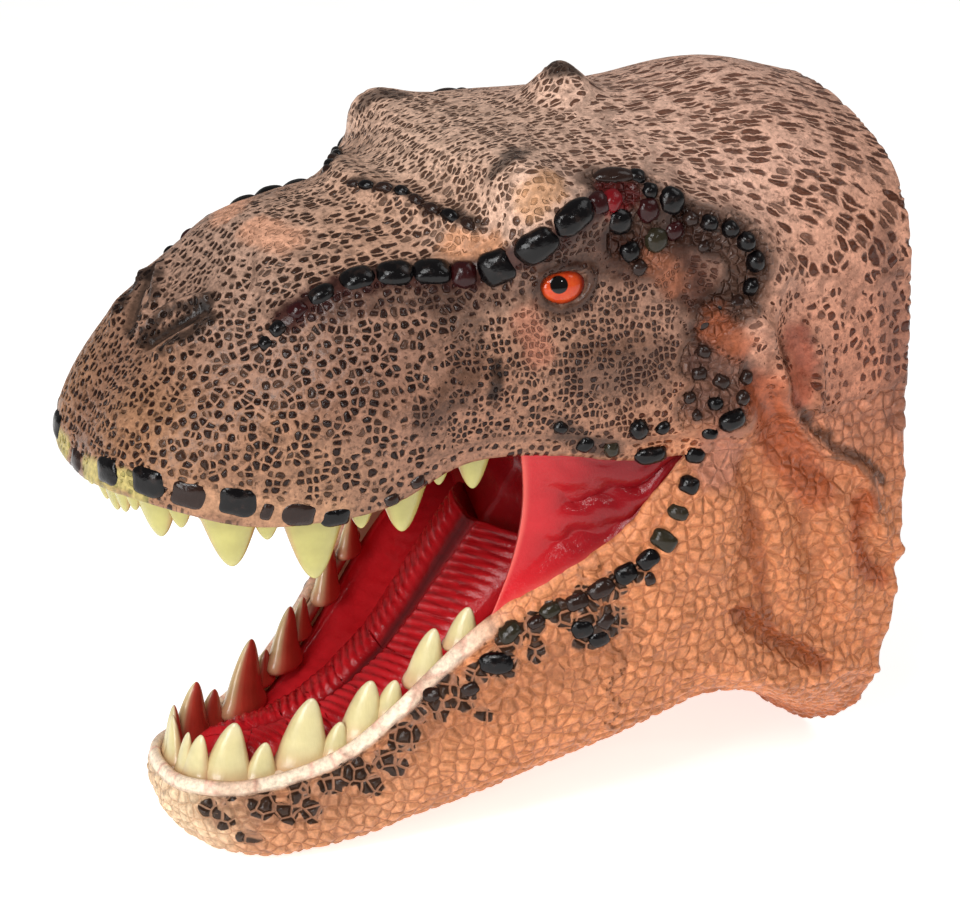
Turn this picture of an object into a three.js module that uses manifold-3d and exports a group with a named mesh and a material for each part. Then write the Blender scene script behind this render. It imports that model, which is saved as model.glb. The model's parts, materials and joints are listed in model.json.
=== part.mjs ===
// Hand puppet: the head and neck of a large meat-eating dinosaur, with its mouth wide open.
// The real toy is a soft rubber skin, open at the neck for a hand. The fingers go over the
// palate into the snout, the thumb goes under the mouth floor, and the mouth closes with them.
// Units are millimetres. +X points along the snout, +Y to the animal's left, +Z up, and the
// origin lies on the table under the middle of the head.
import * as THREE from "three";
import { mergeVertices } from "three/addons/utils/BufferGeometryUtils.js";
import Module from "manifold-3d";

const wasm = await Module();
wasm.setup();

// Driving dimensions
const headLength = 191; // snout tip to cuff edge
const headWidth = 118; // across the beads behind the brows
const headHeight = 180; // table to the knob on the skull
const skinWall = 2.6; // outer rubber skin
const liningWall = 1.8; // red mouth lining
const webWall = 1.6; // cheek webs and throat wall
const seamGap = 0.3; // clearance between neighbouring pieces
const webGap = 1; // clearance between the lips and a cheek web
const tongueGap = 0.5; // clearance between the mouth floor and the tongue
const gumWidth = 3.6; // gum rail, measured in from the lip skin
const gumHeight = 4.6; // gum rail, measured along the lip skin
const gumShown = 3.6; // height of gum rail left bare below the lining
const toothRatio = 0.62; // thickness of a tooth as a share of its width
const tongueThickness = 8;
const eyeLength = 12.4; // along the head
const eyeHeight = 9.4;
const eyeDepth = 8;
const eyeProud = 3; // how far the eye stands out of the skin
const beadHeight = 2.9; // middle to top of a brow bead
const beadSunk = 0.7; // depth of its middle in the skin
const scuteHeight = 1.9; // middle to top of a big scale along the lips
const scuteSunk = 0.4; // depth of its middle in the skin

// The control points below were drawn at this size, with their origin this far ahead of the
// middle of the head. They are stretched to the driving size.
const drawn = { length: 191, width: 118, height: 180, ahead: 2 };
const stretch = new THREE.Vector3(
  headLength / drawn.length,
  headWidth / drawn.width,
  headHeight / drawn.height
);

// Upper head, one row a station from the snout tip back to the cuff. Each row runs from the
// lip up over the cheek, brow and roof to the crown: lip, muzzle, cheek, brow, roof, crown.
const upperStations = [
  [[93.2, 0, 100], [92, 0, 106.5], [88.6, 0, 114], [83.6, 0, 121.5], [78, 0, 128.5], [72, 0, 134.8]],
  [[93.2, 10.3, 101], [91.8, 10.4, 107.5], [88, 10, 115.5], [82, 9.2, 123.8], [75.5, 6.8, 131],
    [68.5, 0, 137.8]],
  [[91.3, 19.2, 101.5], [90, 19.4, 109], [85.8, 18.2, 117.5], [78.6, 15.8, 127], [71.3, 10, 135.5],
    [64.2, 0, 141.8]],
  [[86.5, 28, 101], [85.4, 28.2, 109], [81.3, 26.6, 118.5], [74.3, 22.6, 129], [67.2, 13.8, 138.6],
    [60.3, 0, 145.2]],
  [[79, 34.6, 99], [78.4, 34.9, 108], [75, 32.8, 119.5], [69.4, 27, 130.5], [63.5, 16.8, 141.6],
    [56.8, 0, 148.6]],
  [[69, 39.8, 96.5], [69, 40.4, 107], [66.8, 39, 119.5], [61.8, 31, 131.8], [58, 18, 145],
    [52.6, 0, 152.2]],
  [[56.5, 43, 95.5], [57, 44.4, 106.5], [56, 43.4, 120.5], [53, 33.8, 136], [50.5, 20, 149],
    [46.5, 0, 155]],
  [[37.5, 46, 97], [38, 47.8, 108], [38, 47.5, 122.5], [36.5, 37, 141], [36, 21.5, 152], [35, 0, 157]],
  [[17.5, 48, 105], [18, 50, 113], [17, 50, 125.5], [12.5, 41.2, 144.5], [13.5, 26, 154.8], [19, 0, 160]],
  [[-4, 49.5, 103.5], [-4, 51.5, 112], [-4, 50.5, 127], [-2, 46, 154], [2, 33.5, 166.5], [4, 0, 168]],
  [[-20, 51, 100], [-20, 53.5, 109], [-20, 51.5, 127], [-19, 46, 157], [-17, 31, 168.5], [-15, 0, 171]],
  [[-37, 53, 99], [-37, 55.5, 109.5], [-37, 53.5, 126], [-37, 48, 154.5], [-36, 31, 167.5],
    [-35, 0, 172.5]],
  [[-53, 54, 99], [-53, 55.5, 110], [-53, 54.5, 127], [-53, 49.5, 149], [-53, 32.5, 166.5], [-53, 0, 174.5]],
  [[-74, 53, 99], [-74, 54, 110], [-74, 53.5, 127], [-74, 49.5, 149.5], [-74, 33, 167.5], [-74, 0, 176.8]],
  [[-97.5, 51.5, 98], [-97.5, 51.5, 110], [-97.5, 51, 126], [-97.5, 47.5, 147], [-97.5, 34, 162], [-97.5, 0, 171]]
];

// Lower jaw and throat, one row a station from the chin back to the cuff: lip, side, flank,
// corner, keel. From the mouth corner back, the first point is the upper row's first point.
const lowerStations = [
  [[76.3, 0, 20], [77.5, 0, 15], [76, 0, 9], [71, 0, 2.4], [63, 0, -1.6]],
  [[76, 7, 20.5], [76.8, 8, 15], [74.3, 8.2, 8.5], [68.5, 8, 1.6], [60, 0, -1.6]],
  [[72.8, 13.5, 21], [73.3, 15, 15], [70.5, 15.5, 8], [64, 14, 1.2], [55, 0, -1.6]],
  [[64.5, 19, 21], [65, 21.5, 15], [62.5, 22, 8], [56.5, 19.5, 1], [48, 0, -1.2]],
  [[52.5, 23, 23], [52.5, 26, 17], [50.5, 27, 9], [46, 22.5, 2], [40, 0, 0.4]],
  [[40.5, 27.5, 28.5], [40, 31, 22], [37, 31.5, 12], [33.5, 25.5, 4.5], [31, 0, 2.5]],
  [[29.5, 31, 38], [28.5, 36, 31], [25, 36.5, 18], [22, 28, 8], [20, 0, 5.5]],
  [[14.5, 36.5, 54], [13, 42, 46], [9, 42.5, 27], [7, 31.5, 12], [6, 0, 9]],
  [[3.5, 40.5, 63.5], [2, 46.5, 54], [-3, 46.5, 34], [-5, 34, 16], [-6, 0, 12]],
  [[-9.5, 44.5, 71.5], [-11, 50, 61], [-16, 49, 39], [-19, 36.5, 20], [-20, 0, 15.5]],
  [[-23, 49, 80.5], [-25, 54, 69], [-30, 51.5, 46], [-33, 39, 24.5], [-34, 0, 19.5]],
  [[-37, 53, 99], [-39, 57, 86], [-44, 53, 56], [-48, 41.5, 29.5], [-49, 0, 24]],
  [[-53, 54, 99], [-54, 56, 83], [-58, 52.5, 55], [-62, 43, 29], [-63, 0, 22.5]],
  [[-74, 53, 99], [-74, 53.5, 81], [-77, 50.5, 50], [-80, 41.5, 21.5], [-81, 0, 12]],
  [[-97.5, 51.5, 98], [-97.5, 53, 78], [-97.5, 51, 46], [-97.5, 37, 14], [-97.5, 0, -2]]
];

// Middle line of the palate and of the mouth floor, a point a station from the front back
const palateLine = [
  [86, 0, 107], [81, 0, 110], [75, 0, 112], [68, 0, 114], [60, 0, 116], [51, 0, 117.5],
  [40, 0, 118.5], [25, 0, 119], [8, 0, 118], [-8, 0, 115], [-22, 0, 110]
];
const floorLine = [
  [67, 0, 17.5], [63, 0, 17.5], [57, 0, 17.5], [50, 0, 18], [42, 0, 19], [33, 0, 21.5],
  [24, 0, 26.5], [13.5, 0, 35], [5, 0, 45], [-4, 0, 57], [-13, 0, 69]
];

// Stations, counted along the rows above, where one piece ends and the next begins
const cornerStation = 11; // mouth corner
const neckStation = 12.4; // head and throat meet the neck
const jawEndStation = 10; // jaw meets the throat fold
const cuffStation = 14;
const palateEndStation = 10;
const floorEndStation = 9.6;
const upperRailEnd = 8.75;
const lowerRailEnd = 7.5;

// Raised and sunk places on the skin: centre, radius each way and lift. They are on both sides.
const skinForms = [
  { at: [75, 20.5, 134], reach: [9, 6, 5], lift: 2.2 }, // nostril rim
  { at: [74, 21.5, 134], reach: [5.5, 4, 2.4], lift: -4.4 }, // nostril
  { at: [0, 40, 164], reach: [8, 8, 8], lift: 4.5 }, // horn over the eye
  { at: [-31, 0, 174], reach: [7, 9, 8], lift: 9 }, // knob on the back of the skull
  { at: [-4, 46, 141], reach: [11, 8, 6.5], lift: -3 }, // eye socket
  { at: [-14, 50, 125], reach: [12, 8, 6], lift: 1.6 }, // swelling under the eye
  { at: [36, 48, 122], reach: [20, 12, 13], lift: 1.4 }, // oval of the cheek
  { at: [-48, 55, 106], reach: [11, 9, 10], lift: 3.6 }, // bump behind the mouth corner
  { at: [-62, 55, 126], reach: [5, 8, 16], lift: -3 }, // hollow behind the brow's rear arc
  { at: [-56, 53, 80], reach: [6, 10, 22], lift: -3.4 }, // fold behind the jaw
  { at: [-80, 51, 66], reach: [8, 9, 22], lift: 2 }, // pouch of the lower neck
  { at: [-84, 50, 140], reach: [12, 8, 16], lift: 1 } // flank of the upper neck
];

// Raised rolls along a line: points, radius and lift, on both sides
const skinRolls = [
  { line: [[25, 0, 159], [18, 20, 157], [11, 34, 153]], reach: 5, lift: 3.6 }, // forehead crest
  {
    line: [[59, 33, 138], [48.5, 35, 143.5], [32, 37, 147], [16, 40, 147.5], [3, 44, 151]],
    reach: 5, lift: 2.6
  }, // brow roll over the cheek
  {
    line: [[3, 44, 151], [-9, 46, 157], [-22, 46, 161], [-33, 47, 160.5]],
    reach: 6, lift: 3.8
  }, // brow roll over the eye
  {
    line: [[-42, 48, 154], [-54, 49, 147], [-60, 52, 138], [-57, 54, 130], [-47, 54, 124]],
    reach: 5.5, lift: 3.2
  }, // rear arc of the brow
  {
    line: [[-46, 54, 126], [-66, 54, 108], [-84, 53, 90], [-92, 52, 70]],
    reach: 3.6, lift: 2.4
  }, // long fold down the neck
  {
    line: [[-44, 46, 44], [-62, 50, 34], [-84, 47, 30]],
    reach: 5, lift: 2.2
  } // low fold of the throat
];

// Teeth from the middle of the mouth back: station, width, length
const upperTeeth = [
  [0.45, 5.5, 6.5], [1.05, 6, 8.5], [1.65, 5, 7], [2.25, 5.5, 7], [3, 8.5, 11.5], [3.8, 5, 6.5],
  [4.8, 10, 14], [5.5, 5, 6], [6.25, 11, 17.5], [6.8, 5, 6.5], [7.35, 9, 13], [7.75, 4.5, 6],
  [8.15, 7, 10.5]
];
const lowerTeeth = [
  [0.5, 5.5, 11], [1.4, 6.5, 11], [2.75, 9, 14.5], [3.5, 6, 9], [4.2, 10, 17], [4.8, 5.5, 8],
  [5.3, 8.5, 14], [5.85, 6, 9], [6.4, 7.5, 13.5], [6.95, 6.5, 9.5]
];

// Colours and finishes
const darkSkin = { color: 0x6e5142, roughness: 0.5, metalness: 0 };
const paleSkin = { color: 0xd99a75, roughness: 0.5, metalness: 0 };
const redLining = { color: 0xa81c26, roughness: 0.2, metalness: 0 };
const toothPaint = { color: 0xdcd884, roughness: 0.3, metalness: 0 };
const eyePaint = { color: 0xe8572a, roughness: 0.1, metalness: 0 };

const stretched = ([x, y, z]) => new THREE.Vector3(x, y, z).multiply(stretch);
const sized = ([x, y, z]) => stretched([x + drawn.ahead, y, z]);
const mirrored = (point) => new THREE.Vector3(point.x, -point.y, point.z);
const upperRows = upperStations.map((row) => row.map(sized));
const lowerRows = lowerStations.map((row) => row.map(sized));
const lastStation = upperRows.length - 1;

// Weights of four neighbouring control points at t between the middle two
function curveWeights(t) {
  const t2 = t * t;
  const t3 = t2 * t;
  return [
    -0.5 * t + t2 - 0.5 * t3,
    1 - 2.5 * t2 + 1.5 * t3,
    0.5 * t + 2 * t2 - 1.5 * t3,
    -0.5 * t2 + 0.5 * t3
  ];
}

// A control point of a half head, also past its ends: the middle plane mirrors the rows, and
// past the lip the upper and lower halves of the neck lend each other their next point. Behind
// the mouth corner both halves run along the upper half's edge.
function controlPoint(rows, otherRows, i, j, behindCorner) {
  const lastColumn = rows[0].length - 1;
  if (i < 0) return mirrored(controlPoint(rows, otherRows, -i, j));
  if (i > lastStation) {
    const edge = controlPoint(rows, otherRows, lastStation, j);
    return edge.multiplyScalar(2).sub(controlPoint(rows, otherRows, 2 * lastStation - i, j));
  }
  if (behindCorner && j === 0) return upperRows[i][0].clone();
  if (j > lastColumn) return mirrored(rows[i][2 * lastColumn - j]);
  if (j < 0) {
    if (i >= cornerStation) return otherRows[i][1].clone();
    return rows[i][0].clone().multiplyScalar(2).sub(rows[i][1]);
  }
  return rows[i][j].clone();
}

function bareSkinPoint(rows, otherRows, u, v) {
  const lastColumn = rows[0].length - 1;
  if (u < 0) return mirrored(bareSkinPoint(rows, otherRows, -u, v));
  if (v > lastColumn) return mirrored(bareSkinPoint(rows, otherRows, u, 2 * lastColumn - v));
  const i = Math.min(Math.max(Math.floor(u), 0), lastStation - 1);
  const j = Math.min(Math.max(Math.floor(v), 0), lastColumn - 1);
  const along = curveWeights(u - i);
  const across = curveWeights(v - j);
  const point = new THREE.Vector3();
  along.forEach((wu, a) => {
    across.forEach((wv, b) => {
      const control = controlPoint(rows, otherRows, i + a - 1, j + b - 1, i >= cornerStation);
      point.addScaledVector(control, wu * wv);
    });
  });
  return point;
}

function outwardNormal(pointAt, u, v, side) {
  const step = 0.02;
  const along = pointAt(u + step, v).sub(pointAt(u - step, v));
  const across = pointAt(u, v + step).sub(pointAt(u, v - step));
  const normal = along.cross(across);
  const onPole = normal.lengthSq() < 1e-12; // where the middle line meets the front
  if (onPole) return outwardNormal(pointAt, u + step, v, side);
  return normal.normalize().multiplyScalar(side);
}

function distanceToLine(point, line) {
  let least = Infinity;
  for (let i = 0; i + 1 < line.length; i += 1) {
    const segment = new THREE.Line3(line[i], line[i + 1]);
    const nearest = segment.closestPointToPoint(point, true, new THREE.Vector3());
    least = Math.min(least, nearest.distanceTo(point));
  }
  return least;
}

const sizedForms = skinForms.map((form) => ({
  at: sized(form.at),
  reach: stretched(form.reach),
  lift: form.lift
}));
const sizedRolls = skinRolls.map((roll) => ({ ...roll, line: roll.line.map(sized) }));

// How far the skin stands out at a point of the bare surface: the forms add up, and of the
// rolls the highest counts, so that they join without a heap where they meet
function skinLift(point) {
  const place = new THREE.Vector3(point.x, Math.abs(point.y), point.z);
  let lift = 0;
  for (const form of sizedForms) {
    const away = place.clone().sub(form.at).divide(form.reach);
    lift += form.lift * Math.exp(-away.lengthSq());
  }
  const rolls = sizedRolls.map((roll) => {
    const away = distanceToLine(place, roll.line) / roll.reach;
    return roll.lift * Math.exp(-away * away);
  });
  return lift + Math.max(...rolls);
}

const restOnTable = (point) => point.setZ(Math.max(point.z, 0));
const squareCuff = (point, u, bareX) => (u < cuffStation ? point : point.setX(bareX));

// A half skin as functions of station u and column v: its outside, its inside, its bare shape
function skinSurface(rows, otherRows, side) {
  const bare = (u, v) => bareSkinPoint(rows, otherRows, u, v);
  const outside = (u, v, proud = 0) => {
    const point = bare(u, v);
    const { x } = point;
    const lift = skinLift(point) + proud;
    restOnTable(point.addScaledVector(outwardNormal(bare, u, v, side), lift));
    return squareCuff(point, u, x);
  };
  const inside = (u, v, depth = skinWall) => {
    const point = bare(u, v);
    const { x } = point;
    const lift = Math.min(skinLift(point), 0) - depth;
    return squareCuff(point.addScaledVector(outwardNormal(bare, u, v, side), lift), u, x);
  };
  return { bare, outside, inside, side, lastColumn: rows[0].length - 1 };
}

const upper = skinSurface(upperRows, lowerRows, 1);
const lower = skinSurface(lowerRows, upperRows, -1);

// Evenly spaced values, with both ends
function spaced(from, to, steps) {
  return Array.from({ length: steps + 1 }, (_, i) => from + ((to - from) * i) / steps);
}

// A sheet with a wall between its outside and inside point grids. Rims close its open edges;
// an edge on the middle plane has none, because the mirrored half closes it.
function sheetMesh(outside, inside, rims) {
  const rows = outside.length;
  const columns = outside[0].length;
  const points = [...outside.flat(), ...inside.flat()];
  const shift = rows * columns;
  const at = (i, j) => i * columns + j;
  const faces = [];
  const quad = (a, b, c, d) => faces.push([a, b, c], [a, c, d]);
  for (let i = 0; i + 1 < rows; i += 1) {
    for (let j = 0; j + 1 < columns; j += 1) {
      const corners = [at(i, j), at(i + 1, j), at(i + 1, j + 1), at(i, j + 1)];
      quad(...corners);
      const [a, b, c, d] = corners.map((corner) => corner + shift);
      quad(a, d, c, b);
    }
  }
  const rim = (p, q) => quad(q, p, p + shift, q + shift);
  for (let i = 0; i + 1 < rows; i += 1) {
    if (rims.first) rim(at(i, 0), at(i + 1, 0));
    if (rims.last) rim(at(i + 1, columns - 1), at(i, columns - 1));
  }
  for (let j = 0; j + 1 < columns; j += 1) {
    if (rims.front) rim(at(0, j + 1), at(0, j));
    if (rims.back) rim(at(rows - 1, j), at(rows - 1, j + 1));
  }
  return { points, faces };
}

function withMirror({ points, faces }) {
  const count = points.length;
  return {
    points: [...points, ...points.map(mirrored)],
    faces: [...faces, ...faces.map(([a, b, c]) => [a + count, c + count, b + count])]
  };
}

const mirrorMesh = ({ points, faces }) => ({
  points: points.map(mirrored),
  faces: faces.map(([a, b, c]) => [a, c, b])
});

function signedVolume({ points, faces }) {
  let sum = 0;
  for (const [a, b, c] of faces) sum += points[a].dot(points[b].clone().cross(points[c]));
  return sum / 6;
}

// A closed geometry with its faces outwards, its doubled vertices merged and no empty faces
function closedGeometry(mesh) {
  const flip = signedVolume(mesh) < 0;
  const positions = [];
  const onMiddle = 1e-6;
  for (const { x, y, z } of mesh.points) positions.push(x, Math.abs(y) < onMiddle ? 0 : y, z);
  const raw = new THREE.BufferGeometry();
  raw.setAttribute("position", new THREE.Float32BufferAttribute(positions, 3));
  raw.setIndex(mesh.faces.flatMap(([a, b, c]) => (flip ? [a, c, b] : [a, b, c])));
  const merged = mergeVertices(raw, 1e-4);
  const index = merged.index.array;
  const kept = [];
  for (let i = 0; i < index.length; i += 3) {
    const [a, b, c] = index.slice(i, i + 3);
    if (a !== b && b !== c && c !== a) kept.push(a, b, c);
  }
  merged.setIndex(kept);
  return merged;
}

function toSolid(geometry) {
  const bare = geometry.clone();
  bare.deleteAttribute("normal");
  bare.deleteAttribute("uv");
  const merged = mergeVertices(bare, 1e-4);
  return new wasm.Manifold(
    new wasm.Mesh({
      numProp: 3,
      vertProperties: new Float32Array(merged.attributes.position.array),
      triVerts: new Uint32Array(merged.index.array)
    })
  );
}

function fromSolid(solid) {
  const { vertProperties, triVerts, numProp } = solid.getMesh();
  const positions = [];
  for (let i = 0; i < vertProperties.length; i += numProp) {
    positions.push(...vertProperties.slice(i, i + 3));
  }
  const geometry = new THREE.BufferGeometry();
  geometry.setAttribute("position", new THREE.Float32BufferAttribute(positions, 3));
  geometry.setIndex([...triVerts]);
  return geometry;
}

const model = new THREE.Group();

function addPiece(name, geometry, finish) {
  geometry.computeVertexNormals();
  const mesh = new THREE.Mesh(geometry, new THREE.MeshStandardMaterial(finish));
  mesh.name = name;
  model.add(mesh);
}

const grid = (pointAt, us, vs) => us.map((u) => vs.map((v) => pointAt(u, v)));

// Outer skin, in four pieces that meet at seams
const seamAlong = seamGap / 16; // stations lie about 16 mm apart behind the mouth
const seamAcross = seamGap / 10; // columns lie about 10 mm apart at the lip
const crownColumn = upperRows[0].length - 1;
const keelColumn = lowerRows[0].length - 1;

function skinPiece(surface, us, vs, rims) {
  return withMirror(sheetMesh(grid(surface.outside, us, vs), grid(surface.inside, us, vs), rims));
}

const headRims = { first: true, last: false, front: false, back: true };

// Slices of the head and jaw. Their gum rails are sliced at the same stations.
const headSteps = 24;
const jawSteps = 20;

// Head and throat share these stations, so that their edges run side by side
const foldStations = spaced(jawEndStation + seamAlong, neckStation - seamAlong, 8);

function headSkin() {
  const us = [...spaced(0, jawEndStation, headSteps), ...foldStations];
  const vs = spaced(0, crownColumn, 14);
  return closedGeometry(skinPiece(upper, us, vs, headRims));
}

function jawSkin() {
  const us = spaced(0, jawEndStation, jawSteps);
  const vs = spaced(0, keelColumn, 9);
  return closedGeometry(skinPiece(lower, us, vs, headRims));
}

function throatSkin() {
  const us = foldStations;
  const vs = spaced(seamAcross, keelColumn, 10);
  const rims = { ...headRims, front: true };
  return closedGeometry(skinPiece(lower, us, vs, rims));
}

// The neck is a whole tube: the upper half from the crown to the side, then the lower half
function neckSkin() {
  const pointAt = (name) => (u, w) => {
    if (w <= crownColumn) return upper[name](u, crownColumn - w);
    return lower[name](u, w - crownColumn);
  };
  const us = spaced(neckStation, cuffStation, 6);
  const ws = spaced(0, crownColumn + keelColumn, 24);
  const rims = { first: false, last: false, front: true, back: true };
  const sheet = sheetMesh(grid(pointAt("outside"), us, ws), grid(pointAt("inside"), us, ws), rims);
  return closedGeometry(withMirror(sheet));
}

// A unit vector in the table plane, pointing in from the lip, and one along the lip
function lipFrame(surface, side, u) {
  const out = outwardNormal(surface.bare, u, 0, side).setZ(0).normalize();
  const back = new THREE.Vector3(-out.y, out.x, 0);
  return { inward: out.negate(), back };
}

// Gum rails: the upper one hangs inside the upper lip, the lower one lies inside the lower lip
const railDepth = skinWall + seamGap;

function gumCorners(surface, side, u) {
  const columnSpacing = surface.bare(u, 0).distanceTo(surface.bare(u, 1));
  const edge = surface.inside(u, 0, railDepth);
  const deep = surface.inside(u, gumHeight / columnSpacing, railDepth);
  const { inward } = lipFrame(surface, side, u);
  const across = inward.multiplyScalar(gumWidth);
  return { edge, deep, innerEdge: edge.clone().add(across), innerDeep: deep.clone().add(across) };
}

function gumRail(surface, side, endStation, skinSteps) {
  const steps = Math.round((endStation * skinSteps) / jawEndStation);
  const corners = spaced(0, endStation, steps).map((u) => gumCorners(surface, side, u));
  const outside = corners.map(({ edge, deep }) => [edge, deep]);
  const inside = corners.map(({ innerEdge, innerDeep }) => [innerEdge, innerDeep]);
  const rims = { first: true, last: true, front: false, back: true };
  return toSolid(closedGeometry(withMirror(sheetMesh(outside, inside, rims))));
}

// Share of a tooth's length below the lip, and its size there as a share of its full size
const toothProfile = [[-0.08, 0.9], [0.15, 0.93], [0.7, 0.52]];
const toothSides = 6;

function toothSolid(surface, side, [u, width, length]) {
  const { edge, innerEdge } = gumCorners(surface, side, u);
  const { inward, back } = lipFrame(surface, side, u);
  const thickness = Math.min(width * toothRatio, 2 * gumWidth);
  const root = edge.clone().addScaledVector(inward, thickness / 2);
  const point = new THREE.Vector3(0, 0, -side).addScaledVector(inward, 0.06).normalize();
  const hook = back.clone().multiplyScalar(0.12 * length);
  const rings = toothProfile.map(([along, size]) => {
    const centre = root.clone().addScaledVector(point, along * length);
    centre.addScaledVector(hook, along * along);
    return Array.from({ length: toothSides }, (_, k) => {
      const angle = (2 * Math.PI * k) / toothSides;
      return centre
        .clone()
        .addScaledVector(back, (Math.cos(angle) * size * width) / 2)
        .addScaledVector(inward, (Math.sin(angle) * size * thickness) / 2);
    });
  });
  const tip = root.clone().addScaledVector(point, length).add(hook);
  const top = rings[0].reduce((sum, p) => sum.add(p), new THREE.Vector3());
  const points = [...rings.flat(), tip, top.divideScalar(toothSides)];
  const tipIndex = rings.length * toothSides;
  const faces = [];
  for (let k = 0; k < toothSides; k += 1) {
    const next = (k + 1) % toothSides;
    for (let r = 0; r + 1 < rings.length; r += 1) {
      const low = r * toothSides;
      const high = low + toothSides;
      faces.push([low + k, low + next, high + next], [low + k, high + next, high + k]);
    }
    const last = (rings.length - 1) * toothSides;
    faces.push([last + k, last + next, tipIndex], [next, k, tipIndex + 1]);
  }
  const half = { points, faces };
  return [half, mirrorMesh(half)].map((mesh) => toSolid(closedGeometry(mesh)));
}

function toothRow(surface, side, teeth, endStation, skinSteps) {
  let row = gumRail(surface, side, endStation, skinSteps);
  for (const tooth of teeth) {
    for (const solid of toothSolid(surface, side, tooth)) row = row.add(solid);
  }
  return fromSolid(row);
}

// Linings: a vault over the mouth and a trough under it. Station u and share v from the gum
// rail to the middle line place a point, and lift moves it away from the mouth.
function lineAt(line, u) {
  const i = Math.min(Math.floor(u), line.length - 2);
  return sized(line[i]).lerp(sized(line[i + 1]), u - i);
}

function liningSurface(surface, side, line) {
  const bare = (u, v) => {
    if (u < 0) return mirrored(bare(-u, v));
    if (v > 1) return mirrored(bare(u, 2 - v));
    const { innerEdge, innerDeep } = gumCorners(surface, side, u);
    const { inward } = lipFrame(surface, side, u);
    const start = innerEdge.lerp(innerDeep, gumShown / gumHeight);
    start.addScaledVector(inward, liningWall + seamGap);
    const middle = lineAt(line, u);
    const angle = (v * Math.PI) / 2;
    const share = 1 - Math.cos(angle);
    return new THREE.Vector3(
      start.x + (middle.x - start.x) * share,
      start.y * (1 - share),
      start.z + (middle.z - start.z) * Math.sin(angle)
    );
  };
  return (u, v, lift = 0) => {
    return bare(u, v).addScaledVector(outwardNormal(bare, u, v, side), lift);
  };
}

const palatePoint = liningSurface(upper, 1, palateLine);
const floorPoint = liningSurface(lower, -1, floorLine);

function lining(pointAt, endStation, steps) {
  const us = spaced(0, endStation, steps);
  const vs = spaced(0, 1, 6);
  const away = grid((u, v) => pointAt(u, v, liningWall), us, vs);
  return closedGeometry(withMirror(sheetMesh(away, grid(pointAt, us, vs), headRims)));
}

// The tongue lies on the mouth floor, widens backwards and has a groove along its middle
const tongueStart = 0.5;
const tongueEnd = floorEndStation - 0.1;

function tongue() {
  const across = spaced(0, 1, 6);
  const rows = spaced(tongueStart, tongueEnd, 18).map((u) => {
    const fromTip = (u - tongueStart) / (tongueEnd - tongueStart);
    const room = floorPoint(u, 0).y;
    const halfWidth = Math.min(0.86 * room, 5 + 1.9 * u);
    const edge = (Math.acos(Math.min(halfWidth / Math.max(room, 0.01), 0.86)) * 2) / Math.PI;
    const height = tongueThickness * Math.min(1, 0.25 + 4 * fromTip);
    return across.map((w) => {
      const v = edge + (1 - edge) * w;
      const crown = Math.sqrt(1 - (1 - w) ** 2 * 0.98);
      const groove = 1.4 * Math.exp(-(((1 - w) / 0.16) ** 2)) * Math.min(1, 3 * fromTip);
      const top = floorPoint(u, v, -tongueGap - Math.max(height * crown - groove, 0.6));
      return { top, bottom: floorPoint(u, v, -tongueGap) };
    });
  });
  const tops = rows.map((row) => row.map(({ top }) => top));
  const bottoms = rows.map((row) => row.map(({ bottom }) => bottom));
  const rims = { first: true, last: false, front: true, back: true };
  return closedGeometry(withMirror(sheetMesh(bottoms, tops, rims)));
}

// The throat wall closes the mouth behind the palate and the tongue, bowed towards the neck
function throatWall() {
  const vs = spaced(0, 1, 6);
  const shares = spaced(0, 1, 4);
  const bow = 7;
  const front = vs.map((v) => {
    const high = palatePoint(palateEndStation + seamAlong, v);
    const low = floorPoint(floorEndStation + seamAlong, v);
    return shares.map((share) => {
      const point = high.clone().lerp(low, share);
      point.x -= bow * Math.sin(share * Math.PI);
      return point;
    });
  });
  const back = front.map((row) => row.map((p) => p.clone().setX(p.x - webWall)));
  const rims = { first: true, last: true, front: true, back: false };
  return closedGeometry(withMirror(sheetMesh(front, back, rims)));
}

// A cheek web spans the mouth corner from lip to lip, with a hollow free edge in front
const webTop = { from: 8.9, to: 10.5, column: 0.2 };
const webBottom = { from: 7.7, to: 10.4, column: 0.25 };
const webHollow = 9;
const webBulge = 5;

function cheekWeb() {
  const edgePoint = (surface, { from, to, column }, share) => {
    return surface.inside(from + (to - from) * share, column, skinWall + webGap);
  };
  const outside = spaced(0, 1, 7).map((share) => {
    const top = edgePoint(upper, webTop, share);
    const bottom = edgePoint(lower, webBottom, share);
    return spaced(0, 1, 6).map((down) => {
      const point = top.clone().lerp(bottom, down);
      const belly = Math.sin(down * Math.PI);
      point.x -= webHollow * belly * (1 - share);
      point.y -= webBulge * belly * (1 - 0.5 * share);
      return point;
    });
  });
  const inside = outside.map((row) => row.map((p) => p.clone().setY(p.y - webWall)));
  const rims = { first: true, last: true, front: true, back: true };
  return sheetMesh(outside, inside, rims);
}

// Eyes sit in sockets cut through the skin
const eyeStation = 9.14;
const eyeColumn = 2.5;

function eyeball(grow) {
  const { x, y, z } = outwardNormal(upper.bare, eyeStation, eyeColumn, 1);
  const out = new THREE.Vector3(x, y, z);
  const along = new THREE.Vector3(-out.y, out.x, 0).normalize();
  const up = out.clone().cross(along).negate();
  const centre = upper.outside(eyeStation, eyeColumn, eyeProud - eyeDepth / 2);
  const ball = new THREE.SphereGeometry(1, 12, 8);
  ball.scale(eyeLength / 2 + grow, eyeHeight / 2 + grow, eyeDepth / 2 + grow);
  const turn = new THREE.Matrix4().makeBasis(along, up, along.clone().cross(up));
  ball.applyMatrix4(turn.setPosition(centre));
  return toSolid(ball);
}

const mirroredSolid = (solid) => solid.mirror([0, 1, 0]);

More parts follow.
